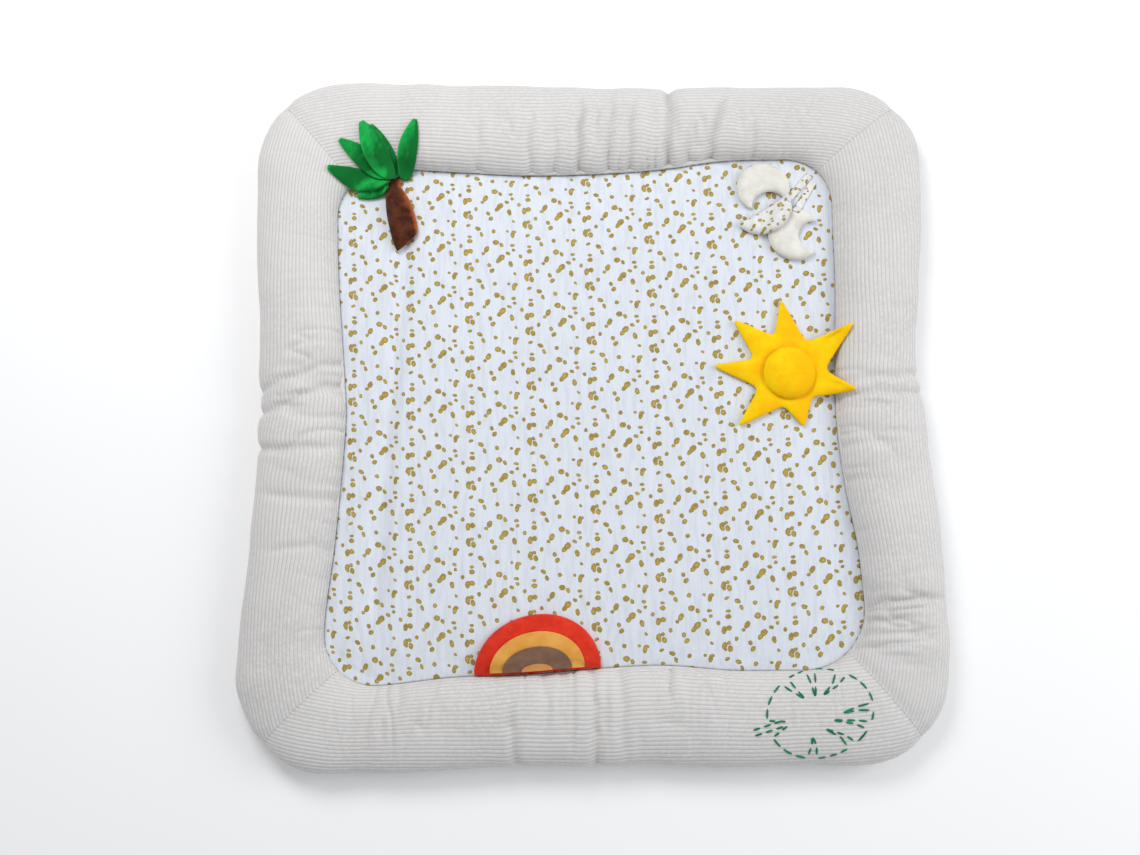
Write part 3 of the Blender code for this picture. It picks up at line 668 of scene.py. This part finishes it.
def soft_piece(name, x, y, full, puff, material, rim=RIM, lift=0.25, rounds=60, wraps=False,
               crinkle=0.0, seed=0):
    """A soft piece that lies over what is below it; arrays hold plan points and fullness by row."""
    rows, columns = x.shape
    ground = np.array([height_below(px, py) for px, py in zip(x.ravel(), y.ravel())]).reshape(x.shape)
    seat = relax(ground, ground, wraps, rounds)
    lower = seat + AIR + lift * puff * (1.0 - full)
    upper = lower + rim + (puff - rim) * full
    upper += crinkle * full * soft_noise(x, y, 0.010, 0.010, seed)
    upper += 0.6 * crinkle * full * soft_noise(x, y, 0.0045, 0.0045, seed + 1)
    low_points = np.stack([x, y, lower], axis=-1).reshape(-1, 3)
    high_points = np.stack([x, y, upper], axis=-1).reshape(-1, 3)
    count = rows * columns
    faces = grid_faces(rows, columns, wrap_columns=wraps, flip=True)
    faces += grid_faces(rows, columns, wrap_columns=wraps, start=count)
    loop = list(range(columns))
    if not wraps:
        loop += [row * columns + columns - 1 for row in range(1, rows)]
        loop += [(rows - 1) * columns + column for column in range(columns - 2, -1, -1)]
        loop += [row * columns for row in range(rows - 2, 0, -1)]
    for i, first in enumerate(loop):
        second = loop[(i + 1) % len(loop)]
        faces.append([first, second, second + count, first + count])
    piece = mesh_object(name, np.concatenate([low_points, high_points]), faces)
    if wraps:
        weld(piece)
    finish_piece(piece, name.replace("soft_", ""), material)
    remember(piece)
    return piece


def weld(piece):
    """Merge the points that a round grid leaves on its middle."""
    work = bmesh.new()
    work.from_mesh(piece.data)
    bmesh.ops.remove_doubles(work, verts=work.verts, dist=1e-6)
    work.to_mesh(piece.data)
    work.free()


def round_full(share):
    """Fullness across a stuffed piece, for share from -1 at one rim to 1 at the other."""
    return np.sqrt(np.maximum(1.0 - share * share, 0.0))


def left_of(reach):
    """The unit vector to the left of a direction."""
    return np.array((-reach[1], reach[0])) / np.hypot(*reach)


def make_sun(material):
    """Seven rays, and a domed disc sewn on them."""
    steps = 12
    tips = [(math.radians(angle), distance) for angle, distance in SUN_OUTLINE]
    outline = []
    for i, (angle, distance) in enumerate(tips):
        begin = np.array((math.cos(angle), math.sin(angle))) * distance
        next_angle, next_distance = tips[(i + 1) % len(tips)]
        finish = np.array((math.cos(next_angle), math.sin(next_angle))) * next_distance
        outline += [begin + (finish - begin) * step / steps for step in range(steps)]
    outline = np.array(outline)
    for _ in range(3):
        outline = 0.5 * outline + 0.25 * (np.roll(outline, 1, axis=0) + np.roll(outline, -1, axis=0))
    rings = 1.0 - np.linspace(0.0, 1.0, 26) ** 1.5
    x = SUN_CENTRE[0] + rings[:, None] * outline[None, :, 0]
    y = SUN_CENTRE[1] + rings[:, None] * outline[None, :, 1]
    from_disc = np.hypot(x - DISC_CENTRE[0], y - DISC_CENTRE[1])
    full = round_full(rings)[:, None] * (1.0 - 0.34 * bump(from_disc - DISC_RADIUS - 0.001, 0.0045))
    soft_piece("soft_sun_rays", x, y, full, PLUSH_SUN, material, wraps=True,
               crinkle=0.0006, seed=11)
    angle = np.linspace(0.0, 2.0 * math.pi, 96, endpoint=False)
    rings = 1.0 - np.linspace(0.0, 1.0, 22) ** 1.4
    x = DISC_CENTRE[0] + DISC_RADIUS * rings[:, None] * np.cos(angle)
    y = DISC_CENTRE[1] + DISC_RADIUS * rings[:, None] * np.sin(angle)
    full = round_full(rings)[:, None] + 0.0 * x
    soft_piece("soft_sun_disc", x, y, full, SUN_DOME, material, wraps=True, lift=0.0,
               crinkle=0.0006, seed=14)


def make_rainbow(materials):
    """A stuffed half-round in the front seam, with three felt half-rounds sewn on it."""
    front_seam = side_line(SIDES[0], "seam")[0]
    for name, half_width, height, thickness in RAINBOW_LAYERS:
        stuffed = thickness > FELT
        base_gap = RAINBOW_OFFSET if stuffed else 3.0 * RAINBOW_OFFSET
        columns, rows = (90, 44) if stuffed else (70, 30)
        share = np.linspace(0.0, 1.0, columns)[None]
        up = np.linspace(0.0, 1.0, rows)[:, None]
        turn = math.pi * (0.03 + 0.94 * share)
        x = RAINBOW_X - half_width * np.cos(turn) + 0.0 * up
        base = -smooth_through(front_seam, x) + base_gap
        y = base + height * np.sin(turn) * up
        full = np.ones_like(x)
        if stuffed:
            full = round_full(2.0 * share - 1.0) * np.sqrt(np.maximum(1.0 - up ** 2.5, 0.0))
            full = full * np.minimum(1.0, 0.55 + 2.0 * up)
        slot = name.replace("rainbow_", "") + "_felt"
        piece = soft_piece("soft_" + name, x, y, full, thickness, materials[slot],
                           rim=RIM if stuffed else FELT, lift=0.1, crinkle=0.0004 if stuffed else 0.0,
                           seed=21)


def make_palm(materials):
    """The trunk, then the leaves from the lowest to the one on top."""
    rows = np.array(TRUNK_ROWS)
    along = np.linspace(0.0, 1.0, 60)
    knots = np.linspace(0.0, 1.0, len(rows))
    sides = [smooth_through(list(zip(knots, rows[:, i])), along) for i in range(4)]
    share = np.linspace(0.0, 1.0, 26)[None]
    x = sides[0][:, None] * (1 - share) + sides[2][:, None] * share
    y = sides[1][:, None] * (1 - share) + sides[3][:, None] * share
    ends = np.minimum(1.0, np.minimum(3.0 * along, 2.5 * (1.0 - along)))[:, None]
    full = round_full(2.0 * share - 1.0) * np.sqrt(np.maximum(ends, 0.0))
    soft_piece("soft_palm_trunk", x, y, full, TRUNK_PUFF, materials["brown_plush"],
               crinkle=0.0008, seed=31)
    for number, (name, base_x, base_y, tip_x, tip_y, width, bow) in enumerate(LEAVES):
        base = np.array((base_x, base_y))
        reach = np.array((tip_x, tip_y)) - base
        sideways = left_of(reach)
        share = np.linspace(0.0, 1.0, 56)[:, None]
        side = np.linspace(-1.0, 1.0, 25)[None]
        spread = 0.03 + 0.97 * np.sin(math.pi * (0.06 + 0.9 * share) ** 0.9) ** 0.8
        offset = bow * np.sin(math.pi * share) + 0.5 * width * side * spread
        x = base[0] + reach[0] * share + sideways[0] * offset
        y = base[1] + reach[1] * share + sideways[1] * offset
        ends = np.minimum(1.0, np.minimum(3.0 * share + 0.15, 3.0 * (1.0 - share)))
        full = round_full(side) * np.sqrt(np.maximum(ends, 0.0))
        soft_piece("soft_" + name, x, y, full, LEAF_PUFF, materials["green_velvet"],
                   crinkle=0.0009, seed=40 + 3 * number)


def arc_points(centre, radius, toward, turn):
    """The x and y of points on a circle, turned from a direction."""
    sideways = left_of(toward)
    return [centre[i] + radius * (toward[i] * np.cos(turn) + sideways[i] * np.sin(turn)) for i in (0, 1)]


def make_moons(materials):
    """Two cream crescents and the printed one over them."""
    for number, (name, centre_x, centre_y, radius, bite_x, bite_y, bite_radius) in enumerate(MOONS):
        centre = np.array((centre_x, centre_y))
        bite = np.array((bite_x, bite_y))
        offset = np.hypot(*(bite - centre))
        toward = (bite - centre) / offset
        common = radius ** 2 - bite_radius ** 2
        outer_start = math.acos((common + offset ** 2) / (2.0 * radius * offset))
        inner_start = math.acos((common - offset ** 2) / (2.0 * bite_radius * offset))
        share = np.linspace(0.035, 0.965, 90)[:, None]
        across = np.linspace(0.0, 1.0, 32)[None]
        outer = outer_start + (2.0 * math.pi - 2.0 * outer_start) * share
        inner = inner_start + (2.0 * math.pi - 2.0 * inner_start) * share
        outside = arc_points(centre, radius, toward, outer)
        inside = arc_points(bite, bite_radius, toward, inner)
        x = outside[0] * (1 - across) + inside[0] * across
        y = outside[1] * (1 - across) + inside[1] * across
        step = np.linspace(0.0, 1.0, 90)[:, None]
        ends = np.minimum(1.0, np.minimum(4.0 * step, 4.0 * (1.0 - step)))
        full = round_full(2.0 * across - 1.0) * np.sqrt(np.maximum(ends, 0.0))
        slot, finish = ("muslin", "moon_muslin") if name == "moon_print" else ("cream_plush", "cream_plush")
        soft_piece("soft_" + name, x, y, full, MOON_PUFF, materials[finish],
                   crinkle=0.0006, seed=60 + 3 * number)


def make_straps(materials):
    """Two narrow printed ribbons from the seam's corner to the moons."""
    for name, start_x, start_y, end_x, end_y in STRAPS:
        start = np.array((start_x, start_y))
        reach = np.array((end_x, end_y)) - start
        sideways = left_of(reach)
        along = np.linspace(0.0, 1.0, 50)[:, None]
        across = np.linspace(-0.5, 0.5, 12)[None] * STRAP_WIDTH
        x = start[0] + reach[0] * along + sideways[0] * across
        y = start[1] + reach[1] * along + sideways[1] * across
        piece = soft_piece("soft_" + name, x, y, np.ones_like(x), FELT, materials["moon_muslin"],
                           rim=FELT, rounds=25)


def leaf_lines():
    """The stitched lines of the leaf: its margin between slits, each slit's two sides, and the stem."""
    lines = []
    angle = LEAF_NOTCH[0]
    lines.append([(angle + 8.0, 0.62), (angle, 1.0)])
    for direction, half_width, inner_direction, inner in SLITS:
        lines.append([(turn, 1.0) for turn in np.linspace(angle, direction + half_width, 12)])
        end = (inner_direction, inner)
        lines.append([(direction + half_width, 0.96), (direction + 0.7 * half_width, 0.7), end])
        lines.append([end, (direction - 0.7 * half_width, 0.7), (direction - half_width, 0.96)])
        angle = direction - half_width
    lines.append([(turn, 1.0) for turn in np.linspace(angle, LEAF_NOTCH[1], 12)])
    lines.append([(LEAF_NOTCH[1], 1.0), (LEAF_NOTCH[1] - 8.0, 0.62)])
    placed = []
    c, s = math.cos(math.radians(LEAF_TURN)), math.sin(math.radians(LEAF_TURN))
    for line in lines:
        turns, shares = np.radians([step[0] for step in line]), np.array([step[1] for step in line])
        shares = shares * (1.0 + 0.04 * np.cos(turns) ** 3)
        x, y = LEAF_RADII[0] * shares * np.cos(turns), LEAF_RADII[1] * shares * np.sin(turns)
        placed.append(np.stack([LEAF_CENTRE[0] + c * x - s * y, LEAF_CENTRE[1] + s * x + c * y], axis=-1))
    start, stop = np.array(STEM[:2]), np.array(STEM[2:])
    sideways = left_of(stop - start) * STEM_WIDTH / 2.0
    placed += [np.array([start + sign * sideways, stop + sign * sideways]) for sign in (-1.0, 1.0)]
    return placed


def make_stitches(material):
    """Thick running stitches that lie in the cover of the front strip."""
    points, faces = [], []
    turn = np.linspace(0.0, 2.0 * math.pi, 8, endpoint=False)
    rings = np.linspace(0.0, 1.0, 9)
    sizes = STITCH_RADIUS * (0.25 + 0.75 * np.sin(math.pi * rings) ** 0.35)
    for line in leaf_lines():
        lengths = np.concatenate([[0.0], np.cumsum(np.hypot(*np.diff(line, axis=0).T))])
        count = max(round(lengths[-1] / (STITCH_LENGTH + STITCH_GAP)), 1)
        pitch = lengths[-1] / count
        for number in range(count):
            where = pitch * number + STITCH_GAP / 2.0 + rings * (pitch - STITCH_GAP)
            x = np.interp(where, lengths, line[:, 0])
            y = np.interp(where, lengths, line[:, 1])
            z = np.array([height_below(px, py) for px, py in zip(x, y)])
            z = np.interp(rings, rings[::2], z[::2]) + 0.0006 * np.sin(math.pi * rings)
            step = np.stack([np.gradient(x), np.gradient(y)], axis=-1)
            step /= np.maximum(np.hypot(*step.T), 1e-9)[:, None]
            start = len(points)
            for i, size in enumerate(sizes):
                for angle in turn:
                    side = size * math.cos(angle)
                    points.append((x[i] - step[i, 1] * side, y[i] + step[i, 0] * side,
                                   z[i] + size * math.sin(angle)))
            faces += grid_faces(len(rings), len(turn), wrap_columns=True, start=start)
            faces.append([start + i for i in range(len(turn))][::-1])
            faces.append([start + (len(rings) - 1) * len(turn) + i for i in range(len(turn))])
    piece = mesh_object("leaf_stitches", np.array(points), faces)
    piece.data.materials.append(material)
    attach(piece, "root")


class Shader:
    """Short names for building one material's nodes."""

    def __init__(self, name, roughness=0.9, sheen=0.3, sheen_tint=(1.0, 1.0, 1.0)):
        self.material = bpy.data.materials.new(name)
        self.material.use_nodes = True
        self.tree = self.material.node_tree
        self.surface = self.tree.nodes["Principled BSDF"]
        self.surface.inputs["Roughness"].default_value = roughness
        self.surface.inputs["Sheen Weight"].default_value = sheen
        self.surface.inputs["Sheen Roughness"].default_value = 0.5
        self.surface.inputs["Sheen Tint"].default_value = (*sheen_tint, 1.0)
        self.surface.inputs["Specular IOR Level"].default_value = 0.12

    def node(self, kind, **settings):
        """A new node with some of its settings."""
        made = self.tree.nodes.new(kind)
        for key, value in settings.items():
            setattr(made, key, value)
        return made

    def put(self, socket, value):
        """Link or set one input."""
        if isinstance(value, bpy.types.NodeSocket):
            self.tree.links.new(value, socket)
        else:
            socket.default_value = value

    def math(self, operation, *values, clamp=False):
        """A math node's result."""
        made = self.node("ShaderNodeMath", operation=operation, use_clamp=clamp)
        for socket, value in zip(made.inputs, values):
            self.put(socket, value)
        return made.outputs[0]

    def vector(self, operation, *values):
        """A vector math node's result: the vector, or the number where it gives one."""
        made = self.node("ShaderNodeVectorMath", operation=operation)
        for socket, value in zip(made.inputs, values):
            self.put(socket, value)
        return made.outputs["Value" if operation == "DOT_PRODUCT" else "Vector"]

    def attribute(self, name):
        """A number stored at the mesh's points."""
        return self.node("ShaderNodeAttribute", attribute_name=name).outputs["Fac"]

    def position(self, scale=(1.0, 1.0, 1.0)):
        """Object coordinates times a scale."""
        place = self.node("ShaderNodeTexCoord").outputs["Object"]
        return self.vector("MULTIPLY", place, scale)

    def noise(self, vector, scale, detail=2.0, roughness=0.5):
        """Noise from 0 to 1."""
        made = self.node("ShaderNodeTexNoise")
        self.put(made.inputs["Vector"], vector)
        made.inputs["Scale"].default_value = scale
        made.inputs["Detail"].default_value = detail
        made.inputs["Roughness"].default_value = roughness
        return made.outputs["Fac"]

    def ramp(self, value, low, high, to_low=0.0, to_high=1.0):
        """A value mapped smoothly from low..high to to_low..to_high."""
        made = self.node("ShaderNodeMapRange", interpolation_type="SMOOTHSTEP")
        limits = {"From Min": low, "From Max": high, "To Min": to_low, "To Max": to_high}
        for label, number in limits.items():
            made.inputs[label].default_value = number
        self.put(made.inputs["Value"], value)
        return made.outputs["Result"]

    def mix(self, share, first, second):
        """Two colours mixed."""
        made = self.node("ShaderNodeMix", data_type="RGBA")
        self.put(made.inputs["Factor"], share)
        for socket, colour in ((made.inputs[6], first), (made.inputs[7], second)):
            linked = isinstance(colour, bpy.types.NodeSocket)
            self.put(socket, colour if linked else (*colour, 1.0))
        return made.outputs[2]

    def finish(self, colour, height=None, distance=0.001, strength=1.0):
        """Join colour and bump to the surface."""
        self.put(self.surface.inputs["Base Color"], colour)
        if height is not None:
            bumps = self.node("ShaderNodeBump")
            bumps.inputs["Distance"].default_value = distance
            bumps.inputs["Strength"].default_value = strength
            self.put(bumps.inputs["Height"], height)
            self.put(self.surface.inputs["Normal"], bumps.outputs["Normal"])
        return self.material


def corduroy_material():
    """Off-white wide-wale corduroy: pale ridges of pile with painted shade in the grooves between them, in
    the creases and along the seam.
    """
    shader = Shader("corduroy", roughness=0.95, sheen=0.25)
    wale = shader.attribute("wale")
    ridge = shader.math("ABSOLUTE", shader.math("SINE", shader.math("MULTIPLY", wale, math.pi)))
    streaks = shader.noise(shader.position(), 190.0, 3.0)
    patches = shader.noise(shader.position(), 9.0, 2.0)
    # Painted shade: the grooves between the wales are darker, following the same ridge as the bump.
    groove_shade = shader.ramp(ridge, 0.05, 0.62, 1.0, 0.0)
    groove_shade = shader.math("MULTIPLY", groove_shade, shader.ramp(streaks, 0.25, 0.75, 0.7, 1.0))
    pile = shader.mix(shader.ramp(patches, 0.3, 0.7), linear(205, 203, 201), linear(213, 211, 209))
    pile = shader.mix(shader.ramp(streaks, 0.35, 0.7), pile, linear(218, 216, 214))
    colour = shader.mix(groove_shade, pile, linear(191, 187, 185))
    # Painted shade: the cover is darker in the creases.
    crease_shade = shader.ramp(shader.attribute("crease_shade"), 0.1, 1.0, 0.0, 0.35)
    colour = shader.mix(crease_shade, colour, linear(176, 172, 168))
    # Painted shade: a dark broken line along the seam where the strip meets the panel.
    seam_shade = shader.ramp(shader.attribute("from_seam"), 0.0004, 0.0026, 1.0, 0.0)
    uneven = shader.ramp(shader.noise(shader.position(), 160.0, 1.0), 0.35, 0.6, 0.25, 0.9)
    colour = shader.mix(shader.math("MULTIPLY", seam_shade, uneven), colour, linear(122, 116, 108))
    fluff = shader.noise(shader.position(), 900.0, 2.0)
    height = shader.math("ADD", shader.math("POWER", ridge, 0.6), shader.math("MULTIPLY", fluff, 0.35))
    return shader.finish(colour, height, distance=0.0005, strength=0.5)


def print_cell(x, y):
    """A place in millimetres as repeats to the right and up."""
    area = REPEAT_RIGHT[0] * REPEAT_UP[1] - REPEAT_RIGHT[1] * REPEAT_UP[0]
    return (REPEAT_UP[1] * x - REPEAT_UP[0] * y) / area, (REPEAT_RIGHT[0] * y - REPEAT_RIGHT[1] * x) / area


def print_distance(shader, place):
    """Squared distance from the nearest motif's middle, 1 at its edge; place is in millimetres."""
    repeats = []
    for unit_x, unit_y in zip(print_cell(1.0, 0.0), print_cell(0.0, 1.0)):
        repeats.append(shader.vector("DOT_PRODUCT", place, (unit_x, unit_y, 0.0)))
    products = (
        shader.math("MULTIPLY", repeats[0], repeats[0]),
        shader.math("MULTIPLY", repeats[0], repeats[1]),
        shader.math("MULTIPLY", repeats[1], repeats[1]),
    )
    for axis in (0, 1):
        for product, shift in zip(products, PRINT_WARP):
            share = print_cell(*shift)[axis]
            repeats[axis] = shader.math("MULTIPLY_ADD", product, -share, repeats[axis])
    cell = shader.node("ShaderNodeCombineXYZ")
    shader.put(cell.inputs[0], repeats[0])
    shader.put(cell.inputs[1], repeats[1])
    nearest = None
    for x, y, length, width, turn in MOTIFS:
        offset = shader.vector("SUBTRACT", cell.outputs[0], (*print_cell(x, y), 0.0))
        offset = shader.vector("WRAP", offset, (0.5, 0.5, 0.5), (-0.5, -0.5, -0.5))
        c, s = math.cos(math.radians(turn)), math.sin(math.radians(turn))
        squares = []
        for along_x, along_y, size in ((c, s, length), (-s, c, width)):
            weights = [2.0 * (along_x * step[0] + along_y * step[1]) / size
                       for step in (REPEAT_RIGHT, REPEAT_UP)]
            squares.append(shader.vector("DOT_PRODUCT", offset, (*weights, 0.0)))
        distance = shader.math("MULTIPLY", squares[0], squares[0])
        distance = shader.math("MULTIPLY_ADD", squares[1], squares[1], distance)
        nearest = distance if nearest is None else shader.math("MINIMUM", nearest, distance)
    return nearest


def muslin_material(name, size=1.0, low=(211, 216, 224), high=(220, 225, 233)):
    """White double-gauze muslin with small mustard petals, at some size, and fine crinkles with painted
    shade in their hollows.
    """
    shader = Shader(name, roughness=0.9, sheen=0.15)
    millimetres = shader.position((1000.0 / size, 1000.0 / size, 1000.0))
    warp = shader.node("ShaderNodeTexNoise")
    warp.inputs["Scale"].default_value = 0.35
    shader.put(warp.inputs["Vector"], millimetres)
    shift = shader.vector("SUBTRACT", warp.outputs["Color"], (0.5, 0.5, 0.5))
    place = shader.vector("ADD", millimetres, shader.vector("MULTIPLY", shift, (2.4, 2.4, 0.0)))
    place = shader.vector("SUBTRACT", place, (PRINT_ORIGIN[0], PRINT_ORIGIN[1], 0.0))
    nearest = print_distance(shader, place)
    mask = shader.ramp(nearest, 0.85, 1.35, 1.0, 0.0)
    shade = shader.noise(millimetres, 0.16, 2.0)
    ink = shader.mix(shader.ramp(shade, 0.35, 0.65), linear(152, 124, 24), linear(190, 160, 40))
    ink = shader.mix(shader.ramp(nearest, 0.1, 0.9), ink, linear(146, 122, 40))
    crinkle_place = shader.position((1.0, 0.16, 1.0))
    crinkle = shader.noise(crinkle_place, 170.0, 3.0, 0.55)
    wide = shader.noise(crinkle_place, 60.0, 2.0)
    # Painted shade: the cloth is darker where the crinkle bump is low, from the low colour to the high one.
    base = shader.mix(shader.ramp(crinkle, 0.3, 0.6), linear(*low), linear(*high))
    colour = shader.mix(shader.math("MULTIPLY", mask, 0.94), base, ink)
    height = shader.math("ADD", crinkle, shader.math("MULTIPLY", wide, 1.2))
    return shader.finish(colour, height, distance=0.0008, strength=0.45)


def plush_material(name, dark, light, sheen=0.12, tint=(1.0, 1.0, 1.0), lump=45.0, lean=0.0, right_side_highlight=None):
    """Short pile in two tones by its nap, with painted light on sides that face left and back if asked for,
    and a painted rust-coloured highlight on slopes that face right if asked for.
    """
    shader = Shader(name, roughness=0.85, sheen=sheen, sheen_tint=tint)
    place = shader.position()
    lumps = shader.noise(place, lump, 3.0, 0.6)
    fine = shader.noise(place, 1100.0, 2.0)
    share = shader.math("ADD", shader.ramp(lumps, 0.32, 0.68),
                        shader.math("MULTIPLY_ADD", fine, 0.3, -0.15))
    normal = shader.node("ShaderNodeNewGeometry").outputs["Normal"]
    # Painted light: with lean, pile that faces left and back is lighter and pile that faces right darker.
    if lean:
        side = shader.vector("DOT_PRODUCT", normal, (-lean, 0.3 * lean, 0.0))
        share = shader.math("ADD", shader.math("MULTIPLY", share, 0.6), side)
    share = shader.math("ADD", share, 0.0, clamp=True)
    colour = shader.mix(share, linear(*dark), linear(*light))
    if right_side_highlight is not None:
        # Painted highlight: rust-coloured light on the slopes that face right.
        right = shader.vector("DOT_PRODUCT", normal, (1.0, 0.2, 0.0))
        lights = shader.ramp(shader.math("MULTIPLY", right, lumps), 0.12, 0.5)
        colour = shader.mix(lights, colour, linear(*right_side_highlight))
    return shader.finish(colour, fine, distance=0.0006, strength=0.5)


def make_materials():
    """Every finish of the mat, by its slot."""
    return {
        "corduroy": corduroy_material(),
        "muslin": muslin_material("muslin"),
        "moon_muslin": muslin_material("moon_muslin", 0.62, (214, 214, 212), (226, 226, 224)),
        # lean gives painted light on the sides that face left and back
        "sun_plush": plush_material("sun_plush", (250, 190, 6), (255, 220, 10), lump=30.0,
                                    tint=(1.0, 0.9, 0.4), sheen=0.05, lean=0.6),
        "red_felt": plush_material("red_felt", (206, 44, 26), (224, 58, 34)),
        "yellow_felt": plush_material("yellow_felt", (218, 152, 66), (230, 170, 84)),
        "taupe_felt": plush_material("taupe_felt", (118, 88, 70), (134, 103, 84)),
        "orange_felt": plush_material("orange_felt", (190, 128, 70), (208, 148, 88)),
        "green_velvet": plush_material("green_velvet", (4, 108, 42), (18, 172, 74), lump=28.0, lean=1.3),
        "brown_plush": plush_material("brown_plush", (54, 24, 14), (92, 46, 26), lump=60.0,
                                      right_side_highlight=(170, 84, 30)),
        "cream_plush": plush_material("cream_plush", (216, 213, 202), (230, 228, 221)),
        "green_thread": plush_material("green_thread", (12, 108, 72), (34, 138, 96)),
    }


def add_area(name, place, size, power, colour):
    """A soft lamp aimed at the middle of the mat."""
    lamp = bpy.data.lights.new(name, "AREA")
    lamp.shape = "DISK"
    lamp.size = size
    lamp.energy = power
    lamp.color = colour
    holder = bpy.data.objects.new(name, lamp)
    holder.location = place
    holder.rotation_euler = (Vector((0.0, 0.0, 0.0)) - Vector(place)).to_track_quat("-Z", "Y").to_euler()
    bpy.context.scene.collection.objects.link(holder)


def make_stage():
    """Pale floor, soft light from the back left and from the right, and the photograph's camera."""
    bpy.ops.mesh.primitive_plane_add(size=12.0, location=(0.0, 0.0, -0.0005))
    floor = bpy.context.object
    floor.name = "floor"
    shader = Shader("floor_paint", roughness=0.9, sheen=0.0)
    tone = shader.noise(shader.position(), 3.0)
    paint = shader.mix(tone, linear(250, 250, 250), linear(252, 252, 252))
    floor.data.materials.append(shader.finish(paint))
    world = bpy.data.worlds.new("studio")
    world.use_nodes = True
    world.node_tree.nodes["Background"].inputs["Color"].default_value = (0.95, 0.97, 1.0, 1.0)
    world.node_tree.nodes["Background"].inputs["Strength"].default_value = WORLD_STRENGTH
    bpy.context.scene.world = world
    for lamp in LAMPS:
        add_area(*lamp)
    bpy.context.scene.view_settings.view_transform = "Standard"
    lens = bpy.data.cameras.new("camera")
    lens.sensor_width = SENSOR_WIDTH
    lens.lens = SENSOR_WIDTH * FOCAL_PIXELS / IMAGE_WIDTH
    lens.shift_x = (IMAGE_WIDTH / 2.0 - CENTRE_PIXEL[0]) / IMAGE_WIDTH
    lens.shift_y = (CENTRE_PIXEL[1] - IMAGE_HEIGHT / 2.0) / IMAGE_WIDTH
    camera = bpy.data.objects.new("camera", lens)
    back = Vector((0.0, -math.sin(CAMERA_TILT), math.cos(CAMERA_TILT)))
    camera.location = CAMERA_TARGET + CAMERA_DISTANCE * back
    camera.rotation_euler = (CAMERA_TILT, 0.0, 0.0)
    bpy.context.scene.collection.objects.link(camera)
    bpy.context.scene.camera = camera


make_stage()
materials = make_materials()
for side in SIDES:
    make_border(side, materials["corduroy"])
make_panel(materials["muslin"])
make_sun(materials["sun_plush"])
make_rainbow(materials)
make_palm(materials)
make_moons(materials)
make_straps(materials)
make_stitches(materials["green_thread"])

bpy.context.view_layer.update()
